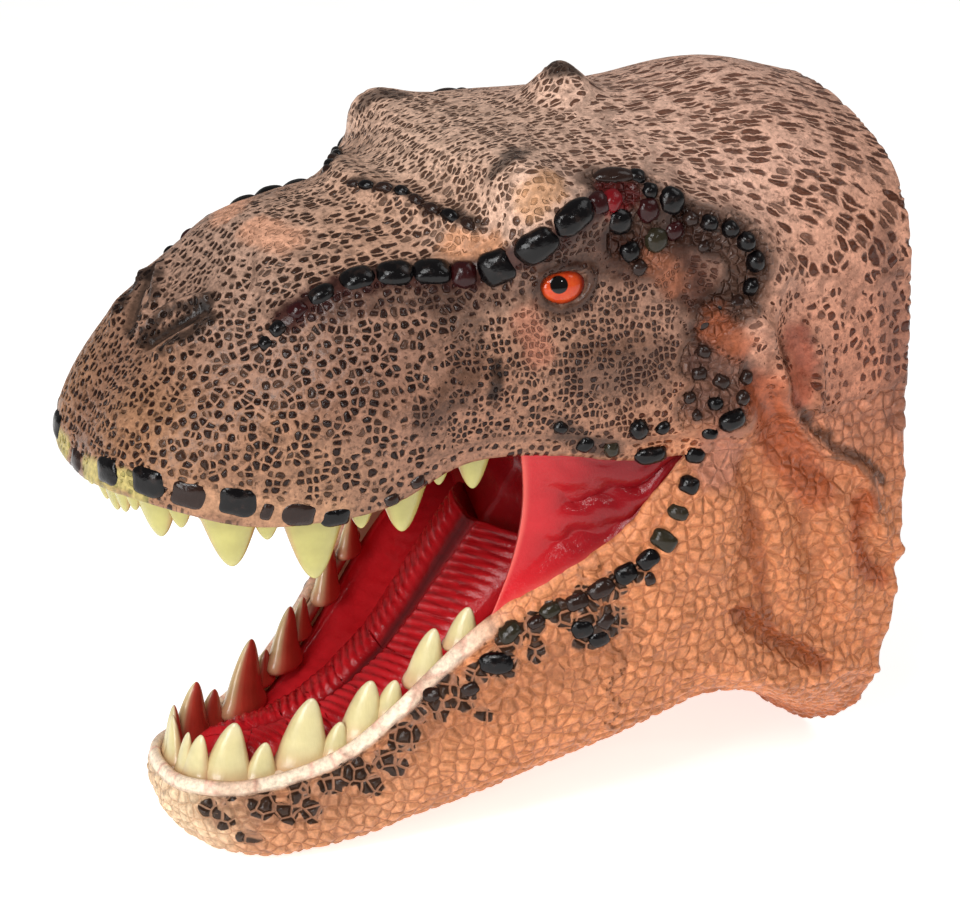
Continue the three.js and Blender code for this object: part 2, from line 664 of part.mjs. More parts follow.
// Station and column of the skin that lie nearest to a place
function nearestOnSkin(surface, place) {
  const best = { u: 0, v: 0, away: Infinity };
  const attempt = (u, v) => {
    const away = surface.bare(u, v).distanceTo(place);
    if (away < best.away) Object.assign(best, { u, v, away });
  };
  const columns = surface.lastColumn * 2;
  for (let i = 0; i <= lastStation * 2; i += 1) {
    for (let j = 0; j <= columns; j += 1) attempt(i / 2, j / 2);
  }
  for (let step = 0.25; step > 0.01; step /= 2) {
    const { u, v } = best;
    for (const du of [-step, 0, step]) for (const dv of [-step, 0, step]) attempt(u + du, v + dv);
  }
  return best;
}

// A low rounded lump on a half skin, long way along the given direction
function lump(surface, u, v, direction, { length, width, height, sunk }) {
  const out = outwardNormal(surface.bare, u, v, surface.side);
  const across = out.clone().cross(direction).normalize();
  const along = across.clone().cross(out);
  const ball = new THREE.SphereGeometry(1, 6, 4);
  ball.scale(length / 2, width / 2, height);
  const turn = new THREE.Matrix4().makeBasis(along, across, out);
  const seat = surface.outside(u, v, -sunk);
  return toSolid(ball.applyMatrix4(turn.setPosition(seat)));
}

// Rows of glossy beads on the upper head: along the brow from the snout to the skull, the knot
// of beads at its end, and the arc round the back of it
const bead = { height: beadHeight, sunk: beadSunk };
const scute = { height: scuteHeight, sunk: scuteSunk };
const headLumps = [
  {
    line: [[57, 32.5, 137.5], [46, 32.5, 144], [30, 35.5, 147.5], [15, 40.5, 147], [2, 48, 152.5],
      [-13, 49, 160]],
    count: 10, size: { length: 8.6, width: 6, ...bead }
  },
  { line: [[-21, 43.5, 164.5], [-33, 48.5, 159]], count: 3, size: { length: 6.4, width: 5.4, ...bead } },
  { line: [[-20, 48.5, 155], [-28.5, 49.5, 150]], count: 2, size: { length: 6, width: 5.2, ...bead } },
  {
    line: [[-38, 50, 154.5], [-46.5, 52, 151], [-52.5, 53.5, 143], [-48, 54, 134]],
    count: 5, size: { length: 6, width: 5, ...bead }
  },
  // big scales along the upper lip, and above the corner of the mouth
  {
    line: [[90.5, 19, 105.5], [79.5, 34.5, 104], [70, 40, 102.5], [57, 43.5, 100], [48.5, 44.5, 99]],
    count: 6, size: { length: 7.8, width: 5.6, ...scute }
  },
  { line: [[-10, 51, 106.5], [-25, 54, 106.5]], count: 3, size: { length: 5, width: 4.6, ...scute } }
];

// Big scales on the jaw, along the lower lip behind the teeth
const jawLumps = [
  {
    line: [[-20, 52, 70.5], [-10, 49.5, 63.5], [5, 44, 56.5]],
    count: 4, size: { length: 6.4, width: 4.8, ...scute }
  }
];

// The lumps of some rows; they keep clear of the seam at the skin's last station
function lumps(surface, rows, seamStation) {
  return rows.flatMap(({ line, count, size }) => {
    const path = new THREE.CatmullRomCurve3(line.map(sized));
    return spaced(0, 1, count - 1).map((share) => {
      const { u, v } = nearestOnSkin(surface, path.getPointAt(share));
      const clear = Math.min(u, seamStation - 0.25);
      return lump(surface, clear, v, path.getTangentAt(share), size);
    });
  });
}

function withLumps(skin, surface, rows, seamStation) {
  let solid = toSolid(skin);
  for (const one of lumps(surface, rows, seamStation)) solid = solid.add(one).add(mirroredSolid(one));
  return solid;
}

function headWithFeatures() {
  const socket = eyeball(seamGap);
  const head = withLumps(headSkin(), upper, headLumps, neckStation);
  return fromSolid(head.subtract(socket).subtract(mirroredSolid(socket)));
}

const jawWithScales = () => fromSolid(withLumps(jawSkin(), lower, jawLumps, jawEndStation));

addPiece("head_skin", headWithFeatures(), darkSkin);
addPiece("neck_skin", neckSkin(), paleSkin);
addPiece("jaw_skin", jawWithScales(), paleSkin);
addPiece("throat_skin", throatSkin(), paleSkin);
addPiece("palate_lining", lining(palatePoint, palateEndStation, 16), redLining);
addPiece("mouth_floor", lining(floorPoint, floorEndStation, 16), redLining);
addPiece("throat_wall", throatWall(), redLining);
addPiece("cheek_web_left", closedGeometry(cheekWeb()), redLining);
addPiece("cheek_web_right", closedGeometry(mirrorMesh(cheekWeb())), redLining);
addPiece("tongue", tongue(), redLining);
addPiece("upper_teeth", toothRow(upper, 1, upperTeeth, upperRailEnd, headSteps), toothPaint);
addPiece("lower_teeth", toothRow(lower, -1, lowerTeeth, lowerRailEnd, jawSteps), toothPaint);
addPiece("left_eye", fromSolid(eyeball(0)), eyePaint);
addPiece("right_eye", fromSolid(mirroredSolid(eyeball(0))), eyePaint);

export default model;
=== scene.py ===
import json
import math

import bmesh
import bpy
import numpy as np
from mathutils import Matrix, Vector
from mathutils.bvhtree import BVHTree

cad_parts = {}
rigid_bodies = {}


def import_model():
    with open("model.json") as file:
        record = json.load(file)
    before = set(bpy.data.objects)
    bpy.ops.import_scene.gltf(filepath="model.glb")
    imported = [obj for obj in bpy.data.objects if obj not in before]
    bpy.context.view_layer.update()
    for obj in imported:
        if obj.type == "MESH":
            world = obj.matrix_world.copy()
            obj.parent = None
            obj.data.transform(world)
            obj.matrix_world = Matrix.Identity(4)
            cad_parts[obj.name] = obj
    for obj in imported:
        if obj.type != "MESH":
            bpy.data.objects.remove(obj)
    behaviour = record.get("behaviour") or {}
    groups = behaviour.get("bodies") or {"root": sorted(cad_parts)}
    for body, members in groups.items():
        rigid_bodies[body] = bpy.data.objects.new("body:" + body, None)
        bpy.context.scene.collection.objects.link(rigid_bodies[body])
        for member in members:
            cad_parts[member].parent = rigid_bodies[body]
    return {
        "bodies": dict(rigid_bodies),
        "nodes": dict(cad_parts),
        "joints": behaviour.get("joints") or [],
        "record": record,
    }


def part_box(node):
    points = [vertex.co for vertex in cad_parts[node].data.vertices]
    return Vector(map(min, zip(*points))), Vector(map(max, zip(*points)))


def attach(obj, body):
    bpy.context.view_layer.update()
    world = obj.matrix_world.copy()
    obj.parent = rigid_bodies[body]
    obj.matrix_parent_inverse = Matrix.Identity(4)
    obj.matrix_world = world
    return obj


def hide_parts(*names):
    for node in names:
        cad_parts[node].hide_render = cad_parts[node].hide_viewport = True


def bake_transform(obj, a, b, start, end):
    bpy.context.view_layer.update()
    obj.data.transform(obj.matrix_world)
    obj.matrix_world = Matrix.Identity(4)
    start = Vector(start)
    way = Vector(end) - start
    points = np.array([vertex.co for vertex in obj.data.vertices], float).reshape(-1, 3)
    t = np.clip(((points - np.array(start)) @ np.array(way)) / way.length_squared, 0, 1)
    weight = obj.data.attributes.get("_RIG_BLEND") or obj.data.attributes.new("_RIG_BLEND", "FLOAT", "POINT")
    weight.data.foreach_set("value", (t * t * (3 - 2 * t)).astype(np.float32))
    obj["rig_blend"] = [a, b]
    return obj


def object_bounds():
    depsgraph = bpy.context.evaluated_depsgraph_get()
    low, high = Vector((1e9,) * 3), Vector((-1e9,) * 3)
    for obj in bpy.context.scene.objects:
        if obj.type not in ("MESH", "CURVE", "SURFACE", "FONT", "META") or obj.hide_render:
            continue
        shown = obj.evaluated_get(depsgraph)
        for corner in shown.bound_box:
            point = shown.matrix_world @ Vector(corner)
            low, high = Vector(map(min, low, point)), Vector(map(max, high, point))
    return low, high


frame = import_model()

# Dinosaur hand puppet: a soft rubber skin with painted scales over a glossy red mouth.
# Places are in millimetres until a mesh is made. +X is ahead, +Y the animal's left, +Z up.
cadLow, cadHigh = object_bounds()
drawnSize = np.array([190.81, 116.964, 180.17])  # the box that the rows below were drawn for
unit = (np.array(cadHigh) - np.array(cadLow)) / drawnSize  # metres for each drawn millimetre
millimetre = 0.001  # for thicknesses, which are the same at every size
ahead = 2  # the rows' origin lies this far behind the part's
skinWall = 2.6
cornerStation = 11  # mouth corner
cuffStation = 14

# Upper head, one row a station from the snout tip back to the cuff. Each row runs from the
# lip up over the cheek, brow and roof to the crown: lip, muzzle, cheek, brow, roof, crown.
upperStations = [
    [[93.2, 0, 100], [92, 0, 106.5], [88.6, 0, 114], [83.6, 0, 121.5], [78, 0, 128.5],
     [72, 0, 134.8]],
    [[93.2, 10.3, 101], [91.8, 10.4, 107.5], [88, 10, 115.5], [82, 9.2, 123.8], [75.5, 6.8, 131],
     [68.5, 0, 137.8]],
    [[91.3, 19.2, 101.5], [90, 19.4, 109], [85.8, 18.2, 117.5], [78.6, 15.8, 127],
     [71.3, 10, 135.5], [64.2, 0, 141.8]],
    [[86.5, 28, 101], [85.4, 28.2, 109], [81.3, 26.6, 118.5], [74.3, 22.6, 129],
     [67.2, 13.8, 138.6], [60.3, 0, 145.2]],
    [[79, 34.6, 99], [78.4, 34.9, 108], [75, 32.8, 119.5], [69.4, 27, 130.5], [63.5, 16.8, 141.6],
     [56.8, 0, 148.6]],
    [[69, 39.8, 96.5], [69, 40.4, 107], [66.8, 39, 119.5], [61.8, 31, 131.8], [58, 18, 145],
     [52.6, 0, 152.2]],
    [[56.5, 43, 95.5], [57, 44.4, 106.5], [56, 43.4, 120.5], [53, 33.8, 136], [50.5, 20, 149],
     [46.5, 0, 155]],
    [[37.5, 46, 97], [38, 47.8, 108], [38, 47.5, 122.5], [36.5, 37, 141], [36, 21.5, 152],
     [35, 0, 157]],
    [[17.5, 48, 105], [18, 50, 113], [17, 50, 125.5], [12.5, 41.2, 144.5], [13.5, 26, 154.8],
     [19, 0, 160]],
    [[-4, 49.5, 103.5], [-4, 51.5, 112], [-4, 50.5, 127], [-2, 46, 154], [2, 33.5, 166.5],
     [4, 0, 168]],
    [[-20, 51, 100], [-20, 53.5, 109], [-20, 51.5, 127], [-19, 46, 157], [-17, 31, 168.5],
     [-15, 0, 171]],
    [[-37, 53, 99], [-37, 55.5, 109.5], [-37, 53.5, 126], [-37, 48, 154.5], [-36, 31, 167.5],
     [-35, 0, 172.5]],
    [[-53, 54, 99], [-53, 55.5, 110], [-53, 54.5, 127], [-53, 49.5, 149], [-53, 32.5, 166.5],
     [-53, 0, 174.5]],
    [[-74, 53, 99], [-74, 54, 110], [-74, 53.5, 127], [-74, 49.5, 149.5], [-74, 33, 167.5],
     [-74, 0, 176.8]],
    [[-97.5, 51.5, 98], [-97.5, 51.5, 110], [-97.5, 51, 126], [-97.5, 47.5, 147],
     [-97.5, 34, 162], [-97.5, 0, 171]],
]

# Lower jaw and throat, one row a station from the chin back to the cuff: lip, side, flank,
# corner, keel. From the mouth corner back, the first point is the upper row's first point.
lowerStations = [
    [[76.3, 0, 20], [77.5, 0, 15], [76, 0, 9], [71, 0, 2.4], [63, 0, -1.6]],
    [[76, 7, 20.5], [76.8, 8, 15], [74.3, 8.2, 8.5], [68.5, 8, 1.6], [60, 0, -1.6]],
    [[72.8, 13.5, 21], [73.3, 15, 15], [70.5, 15.5, 8], [64, 14, 1.2], [55, 0, -1.6]],
    [[64.5, 19, 21], [65, 21.5, 15], [62.5, 22, 8], [56.5, 19.5, 1], [48, 0, -1.2]],
    [[52.5, 23, 23], [52.5, 26, 17], [50.5, 27, 9], [46, 22.5, 2], [40, 0, 0.4]],
    [[40.5, 27.5, 28.5], [40, 31, 22], [37, 31.5, 12], [33.5, 25.5, 4.5], [31, 0, 2.5]],
    [[29.5, 31, 38], [28.5, 36, 31], [25, 36.5, 18], [22, 28, 8], [20, 0, 5.5]],
    [[14.5, 36.5, 54], [13, 42, 46], [9, 42.5, 27], [7, 31.5, 12], [6, 0, 9]],
    [[3.5, 40.5, 63.5], [2, 46.5, 54], [-3, 46.5, 34], [-5, 34, 16], [-6, 0, 12]],
    [[-9.5, 44.5, 71.5], [-11, 50, 61], [-16, 49, 39], [-19, 36.5, 20], [-20, 0, 15.5]],
    [[-23, 49, 80.5], [-25, 54, 69], [-30, 51.5, 46], [-33, 39, 24.5], [-34, 0, 19.5]],
    [[-37, 53, 99], [-39, 57, 86], [-44, 53, 56], [-48, 41.5, 29.5], [-49, 0, 24]],
    [[-53, 54, 99], [-54, 56, 83], [-58, 52.5, 55], [-62, 43, 29], [-63, 0, 22.5]],
    [[-74, 53, 99], [-74, 53.5, 81], [-77, 50.5, 50], [-80, 41.5, 21.5], [-81, 0, 12]],
    [[-97.5, 51.5, 98], [-97.5, 53, 78], [-97.5, 51, 46], [-97.5, 37, 14], [-97.5, 0, -2]],
]

# Middle line of the palate and of the mouth floor, a point a station from the front back
palateLine = [
    [86, 0, 107], [81, 0, 110], [75, 0, 112], [68, 0, 114], [60, 0, 116], [51, 0, 117.5],
    [40, 0, 118.5], [25, 0, 119], [8, 0, 118], [-8, 0, 115], [-22, 0, 110]
]
floorLine = [
    [67, 0, 17.5], [63, 0, 17.5], [57, 0, 17.5], [50, 0, 18], [42, 0, 19], [33, 0, 21.5],
    [24, 0, 26.5], [13.5, 0, 35], [5, 0, 45], [-4, 0, 57], [-13, 0, 69]
]

# Raised and sunk places on the skin: centre, radius each way and lift. They are on both sides.
skinForms = [
    [(75, 20.5, 134), (9, 6, 5), 2.2],  # nostril rim
    [(74, 21.5, 134), (5.5, 4, 2.4), -4.4],  # nostril
    [(0, 40, 164), (8, 8, 8), 4.5],  # horn over the eye
    [(-31, 0, 174), (7, 9, 8), 9],  # knob on the back of the skull
    [(-4, 46, 141), (11, 8, 6.5), -3],  # eye socket
    [(-14, 50, 125), (12, 8, 6), 1.6],  # swelling under the eye
    [(36, 48, 122), (20, 12, 13), 1.4],  # oval of the cheek
    [(-48, 55, 106), (11, 9, 10), 3.6],  # bump behind the mouth corner
    [(-62, 55, 126), (5, 8, 16), -3],  # hollow behind the brow's rear arc
    [(-56, 53, 80), (6, 10, 22), -3.4],  # fold behind the jaw
    [(-80, 51, 66), (8, 9, 22), 2],  # pouch of the lower neck
    [(-84, 50, 140), (12, 8, 16), 1],  # flank of the upper neck
]

# Raised rolls along a line: its points, radius and lift, on both sides
skinRolls = [
    # forehead crest
    [[[25, 0, 159], [18, 20, 157], [11, 34, 153]], 5, 3.6],
    # brow roll over the cheek
    [[[59, 33, 138], [48.5, 35, 143.5], [32, 37, 147], [16, 40, 147.5], [3, 44, 151]], 5, 2.6],
    # brow roll over the eye
    [[[3, 44, 151], [-9, 46, 157], [-22, 46, 161], [-33, 47, 160.5]], 6, 3.8],
    # rear arc of the brow
    [[[-42, 48, 154], [-54, 49, 147], [-60, 52, 138], [-57, 54, 130], [-47, 54, 124]], 5.5, 3.2],
    # long fold down the neck
    [[[-46, 54, 126], [-66, 54, 108], [-84, 53, 90], [-92, 52, 70]], 3.6, 2.4],
    # low fold of the throat
    [[[-44, 46, 44], [-62, 50, 34], [-84, 47, 30]], 5, 2.2],
]

upperTeeth = [
    [0.45, 5.5, 6.5], [1.05, 6, 8], [1.6, 5.5, 7.5], [2.15, 4.5, 6], [2.8, 8.5, 11.5],
    [3.6, 5, 6.8], [4.72, 10, 14], [5.5, 5, 6], [6.25, 11, 17.5], [6.8, 5, 6.5], [7.35, 9, 13],
    [7.75, 4.5, 6], [8.15, 7, 10.5],
]
lowerTeeth = [
    [0.5, 5.5, 11], [1.4, 6.5, 11], [2.75, 9, 14.5], [3.5, 6, 9], [4.2, 10, 17], [4.8, 5.5, 8],
    [5.3, 8.5, 14], [5.85, 6, 9], [6.4, 7.5, 13.5], [6.95, 6.5, 9.5],
]

# The puppet's shape: the rows above are joined by smooth curves both ways
upperRows = np.array(upperStations, float) + [ahead, 0, 0]
lowerRows = np.array(lowerStations, float) + [ahead, 0, 0]
lastStation = len(upperRows) - 1
acrossMiddle = np.array([1, -1, 1])


def curveWeights(t):
    t2, t3 = t * t, t * t * t
    return (-0.5 * t + t2 - 0.5 * t3, 1 - 2.5 * t2 + 1.5 * t3,
            0.5 * t + 2 * t2 - 1.5 * t3, -0.5 * t2 + 0.5 * t3)


def paddedRows(rows, otherRows, behindCorner):
    # one more row and column on each side, so that the curves run on past the edges
    padded = np.zeros((len(rows) + 2, rows.shape[1] + 2, 3))
    padded[1:-1, 1:-1] = rows
    beyondLip = 2 * rows[:, 0] - rows[:, 1]
    beyondLip[cornerStation:] = otherRows[cornerStation:, 1]
    padded[1:-1, 0] = beyondLip
    if behindCorner:
        padded[1:-1, 1] = upperRows[:, 0]
    padded[1:-1, -1] = rows[:, -2] * acrossMiddle
    padded[0] = padded[2] * acrossMiddle
    padded[-1] = 2 * padded[-2] - padded[-3]
    return padded


def patchPoint(padded, u, v):
    i = np.clip(np.floor(u), 0, lastStation - 1).astype(int)
    j = np.clip(np.floor(v), 0, padded.shape[1] - 4).astype(int)
    along, across = curveWeights(u - i), curveWeights(v - j)
    point = np.zeros(u.shape + (3,))
    for a in range(4):
        for b in range(4):
            point += (along[a] * across[b])[..., None] * padded[i + a, j + b]
    return point


def distanceToLine(points, line):
    line = np.array(line, float)
    least = np.full(points.shape[:-1], 1e9)
    for start, end in zip(line[:-1], line[1:]):
        way = end - start
        share = np.clip(((points - start) @ way) / (way @ way), 0, 1)
        nearest = start + share[..., None] * way
        least = np.minimum(least, np.linalg.norm(points - nearest, axis=-1))
    return least


def softStep(value, low, high):
    t = np.clip((value - low) / (high - low), 0, 1)
    return t * t * (3 - 2 * t)


def onNearSide(points):
    return np.stack([points[..., 0], np.abs(points[..., 1]), points[..., 2]], -1)


def mainLift(points):
    place = onNearSide(points)
    lift = np.zeros(place.shape[:-1])
    for at, reach, height in skinForms:
        away = (place - np.array(at) - [ahead, 0, 0]) / np.array(reach)
        lift += height * np.exp(-(away ** 2).sum(-1))
    highest = np.zeros(lift.shape)
    for line, reach, height in skinRolls:
        away = distanceToLine(place, np.array(line) + [ahead, 0, 0]) / reach
        highest = np.maximum(highest, height * np.exp(-away ** 2))
    return lift + highest


fineMarks = []  # functions from place to lift, added below where the photograph shows them


class HalfSkin:
    def __init__(self, rows, otherRows, side):
        self.lastColumn = rows.shape[1] - 1
        self.side = side
        self.front = paddedRows(rows, otherRows, False)
        self.behind = paddedRows(rows, otherRows, True)

    def bare(self, u, v):
        u, v = np.broadcast_arrays(np.asarray(u, float), np.asarray(v, float))
        pastCrown = v > self.lastColumn
        flipped = (u < 0) ^ pastCrown
        u, v = np.abs(u), np.where(pastCrown, 2 * self.lastColumn - v, v)
        isBehind = (u >= cornerStation)[..., None]
        point = np.where(isBehind, patchPoint(self.behind, u, v), patchPoint(self.front, u, v))
        return np.where(flipped[..., None], point * acrossMiddle, point)

    def normal(self, u, v, step=0.02):
        u, v = np.broadcast_arrays(np.asarray(u, float), np.asarray(v, float))
        along = self.bare(u + step, v) - self.bare(u - step, v)
        across = self.bare(u, v + step) - self.bare(u, v - step)
        normal = np.cross(along, across)
        length = np.linalg.norm(normal, axis=-1, keepdims=True)
        atPole = length[..., 0] < 1e-6
        if atPole.any():
            normal[atPole] = self.normal(u[atPole] + step, v[atPole], step) * self.side
            length = np.linalg.norm(normal, axis=-1, keepdims=True)
        return normal / length * self.side

    def place(self, u, v, lift):
        u = np.asarray(u, float)
        point = self.bare(u, v)
        moved = point + self.normal(u, v) * np.asarray(lift)[..., None]
        moved[..., 2] = np.maximum(moved[..., 2], 0)
        atCuff = np.broadcast_to(u, moved.shape[:-1]) >= cuffStation
        moved[..., 0] = np.where(atCuff, point[..., 0], moved[..., 0])
        return moved

    def outside(self, u, v):
        point = self.bare(u, v)
        lift = mainLift(point)
        for mark in fineMarks:
            lift = lift + mark(point)
        return self.place(u, v, lift)

    def inside(self, u, v, depth):
        return self.place(u, v, np.minimum(mainLift(self.bare(u, v)), 0) - depth)


upper = HalfSkin(upperRows, lowerRows, 1)
lower = HalfSkin(lowerRows, upperRows, -1)

# The photograph's camera. Marks on the skin are named by their pixels in its picture.
photoCamera = {
    "turn": math.radians(27), "rise": math.radians(21), "distance": 680,
    "target": np.array([-7.5, 0, 84]), "focal": 2788, "picture": (960, 920),
}


def cameraAxes():
    turn, rise = photoCamera["turn"], photoCamera["rise"]
    back = np.array([math.sin(turn) * math.cos(rise), math.cos(turn) * math.cos(rise),
                     math.sin(rise)])
    right = np.array([-math.cos(turn), math.sin(turn), 0])
    return back, right, np.cross(back, right)


def skinProbe():
    # both skins as one tree of faces, to find where a pixel meets the skin
    points, faces = [], []
    for half in (upper, lower):
        us, vs = np.linspace(0, cuffStation, 141), np.linspace(0, half.lastColumn, 51)
        grid = half.outside(us[:, None], vs[None, :])
        for side in (acrossMiddle * acrossMiddle, acrossMiddle):
            start = len(points)
            points += [Vector(p) for p in (grid * side).reshape(-1, 3)]
            for i in range(len(us) - 1):
                for j in range(len(vs) - 1):
                    a = start + i * len(vs) + j
                    faces.append((a, a + len(vs), a + len(vs) + 1, a + 1))
    return BVHTree.FromPolygons(points, faces)


probe = skinProbe()


def atPixels(pixels):
    back, right, up = cameraAxes()
    start = photoCamera["target"] + back * photoCamera["distance"]
    middle = np.array(photoCamera["picture"]) / 2
    found = []
    for x, y in pixels:
        ray = -back * photoCamera["focal"] + right * (x - middle[0]) - up * (y - middle[1])
        way = Vector(ray).normalized()
        hit = probe.ray_cast(Vector(start), way)[0]
        if hit is None:  # just off the edge of the shape: the skin that lies nearest
            alongRay = [Vector(start) + way * (photoCamera["distance"] + step)
                        for step in range(-120, 121, 4)]
            hit = min((probe.find_nearest(place) for place in alongRay), key=lambda n: n[3])[0]
        found.append(list(hit))
    return onNearSide(np.array(found))


print("shape of the skin ready")

# Folds, slits and swellings: how wide and how high in mm, and the pixels that they run through
skinFolds = {
    "nostril": [1.9, -2.2, (150, 341), (174, 326), (200, 311)],
    "nostrilRim": [1.5, 1.5, (144, 327), (170, 308), (206, 298)],
    "nostrilFoot": [1.4, 1.0, (156, 355), (182, 343), (208, 324)],
    "crestKnobs": [1.9, 1.6, (352, 184), (378, 186), (400, 191), (422, 204), (450, 215),
        (475, 226)],
    "longFold": [1.9, 2.9, (700, 318), (746, 306), (774, 352), (782, 400), (804, 432), (826, 453),
        (856, 462), (872, 478), (876, 508)],
    "foldShade": [3, -2.6, (728, 335), (752, 360), (763, 398), (776, 424), (792, 446), (818, 466),
        (844, 474)],
    "behindLongFold": [2.6, -1.4, (796, 406), (816, 432), (842, 446), (868, 452)],
    "innerFold": [1.5, 1.4, (804, 324), (819, 355), (821, 392), (811, 419)],
    "redGroove": [2.4, -1.8, (794, 330), (804, 362), (804, 396)],
    "jawLineFold": [3, -2, (746, 462), (754, 484), (756, 512), (748, 548), (742, 580)],
    "throatFold": [2.6, -1.8, (752, 470), (782, 496), (812, 520), (826, 552)],
    "throatRidge": [3.4, 1.8, (764, 500), (776, 536), (790, 580), (800, 610)],
    "throatHollow": [3.2, -1.6, (806, 540), (822, 580), (828, 620)],
    "neckRidge": [3.4, 1.4, (840, 500), (850, 550), (852, 610)],
    "pocketFold": [2.2, -1.9, (862, 500), (866, 540), (880, 564), (898, 568)],
    "pocketLip": [2.6, 1.7, (876, 508), (882, 536), (900, 548)],
    "lowFold": [2.3, 2, (744, 604), (766, 622), (786, 634), (832, 655), (862, 666), (890, 670)],
    "lowSlot": [1.9, -2.2, (738, 614), (756, 628), (780, 646), (812, 662)],
    "lowestFold": [2.2, 1.3, (736, 664), (771, 680), (800, 698)],
}
foldLines = {name: atPixels(fold[2:]) for name, fold in skinFolds.items()}
deepestFold = 1.8  # the wall behind a fold must stay whole


def foldLift(points):
    place = onNearSide(points)
    lift = np.zeros(place.shape[:-1])
    for name, (reach, height, *pixels) in skinFolds.items():
        away = distanceToLine(place, foldLines[name]) / reach
        lift += height * np.exp(-away ** 2)
    return np.maximum(lift, -deepestFold)


# The eye lies in an almond opening between two lids. Its place is its CAD node's middle.
eye = {"length": 12, "height": 9, "depth": 8, "pupil": 2.0, "gaze": (-1.7, 0.9), "sunk": 0.7,
       "behind": 0.6, "higher": 0.9, "lid": 1.7, "lidWidth": 0.2, "hollow": -3.2,
       "plain": [6.9, 9, 5.1]}  # the skin is plain this far round it
eyeStation, eyeColumn = 9.14, 2.5


def eyeAxes():
    out = upper.normal(np.array([eyeStation]), np.array([eyeColumn]))[0]
    along = np.array([-out[1], out[0], 0])
    along /= np.linalg.norm(along)
    low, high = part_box("left_eye")
    above = np.cross(out, along)
    middle = (np.array(low) + np.array(high)) / 2 / unit
    middle = middle - out * eye["sunk"] + along * eye["behind"] + above * eye["higher"]
    return middle, along, above, out


def lidLift(points):
    middle, along, above, out = eyeAxes()
    away = onNearSide(points) - middle
    x = (away @ along) / (eye["length"] / 2)
    y = (away @ above - 0.9 * x * x) / (eye["height"] / 2 - 0.6)
    around = np.sqrt(x * x + y * y)
    near = np.exp(-((away @ out) / 9) ** 2)
    lids = eye["lid"] * np.exp(-((around - 1.12) / eye["lidWidth"]) ** 2)
    return near * (lids + eye["hollow"] * softStep(-around, -1, -0.72))


fineMarks += [foldLift, lidLift]
print("folds and lids placed")


def setSockets(tree, node, links):
    # sockets take a value, another node's output or a node, which stands for its first output
    for socket, value in links.items():
        target = node.inputs[socket]
        if isinstance(value, bpy.types.Node):
            value = value.outputs[0]
        if isinstance(value, bpy.types.NodeSocket):
            tree.links.new(value, target)
        else:
            target.default_value = value


def addNode(tree, kind, links=None, **settings):
    # the one place where nodes are made; a shader node goes by its short name
    node = tree.nodes.new(kind if "Node" in kind else "ShaderNode" + kind)
    for name, value in settings.items():
        setattr(node, name, value)
    setSockets(tree, node, links or {})
    return node


def linearColor(code):
    parts = [int(code[i:i + 2], 16) / 255 for i in (1, 3, 5)]
    return tuple(c / 12.92 if c <= 0.04045 else ((c + 0.055) / 1.055) ** 2.4
                 for c in parts) + (1.0,)


def waves(points, size, seed):
    # smooth irregular values from -1 to 1 that change over about this many mm
    total = np.zeros(points.shape[:-1])
    turns = [(0.8, 0.5, 0.33), (-0.4, 0.9, 0.2), (0.3, -0.45, 0.84), (0.66, 0.1, -0.74),
             (-0.7, -0.6, 0.4)]
    for k, turn in enumerate(turns):
        phase = points @ np.array(turn) * (2 * math.pi / size) * (1 + 0.23 * k) + seed + 1.7 * k
        total += np.sin(phase + 1.3 * np.sin(phase * 0.61 + 2.1 * seed + k))
    return total / len(turns)


# Scales: each zone of the skin has cells of its own, in mm each way, then 1 where they are pits,
# sunk and painted dark, or 0 where they are cobbles with grooves between them, their height,
# and the width of the net between pits, as a share of a cell.
scaleZones = {
    "snout": [(2.1, 2.1, 2.1), 1.0, 0.6, 0.1],
    "forehead": [(3.1, 1.5, 1.9), 1.0, 0.5, 0.08],
    "temple": [(1.6, 1.6, 1.6), 1.0, 0.5, 0.1],
    "neck": [(4.2, 1.6, 1), 1.0, 0.55, 0.07],
    "rearNeck": [(2.5, 1.5, 1), 1.0, 0.5, 0.13],
    "knobs": [(2.1, 2.1, 2.1), 0.0, 0.9, 0.0],
    "throat": [(3.3, 3.3, 3.3), 0.0, 0.95, 0.0],
    "jaw": [(3.3, 3.3, 3.3), 0.0, 0.85, 0.0],
    "gum": [(9, 9, 9), 0.0, 0.05, 0.0],
}
zoneNames = list(scaleZones)
knobPlaces = [atPixels(line) for line in (
    [(690, 225), (735, 235), (752, 262), (738, 300), (710, 322)],
    [(610, 180), (645, 200), (625, 235), (650, 250)],
    [(700, 360), (728, 378), (740, 410), (700, 410)])]
flowMiddle = np.array([-25, 0, 115])  # the neck's scales run in rings round this place
flowRadius = {"round": 46, "across": 66}


def chooseZones(points, station, column, isUpper):
    wobble = waves(points, 14, 3) * 0.22
    zone = np.full(station.shape, zoneNames.index("snout"))

    def claim(name, where):
        zone[where] = zoneNames.index(name)

    if isUpper:
        claim("forehead", (column > 3.35 + wobble) & (station > 5.4 + 2 * wobble))
        claim("temple", (station > 7.6 + 2 * wobble) & (column < 2.6 + wobble) & (column > 0.6))
        claim("neck", (station > 10.9 + 2 * wobble) & (column > 0.85 + 1.6 * wobble))
        claim("rearNeck", (station > 12 + 2 * wobble) & (column < 2.3 + 2 * wobble)
              & (column > 0.3))
        claim("throat", (station > 11.2) & (column < 0.5 + 1.6 * wobble))
        for line in knobPlaces:
            claim("knobs", distanceToLine(onNearSide(points), line) < 5.5 + 5 * wobble)
    else:
        claim("jaw", column > -1)
        claim("throat", station > 9.3 + 2 * wobble)
        claim("gum", (column < 0.32 + 0.25 * wobble) & (station < 7.6))
    return zone


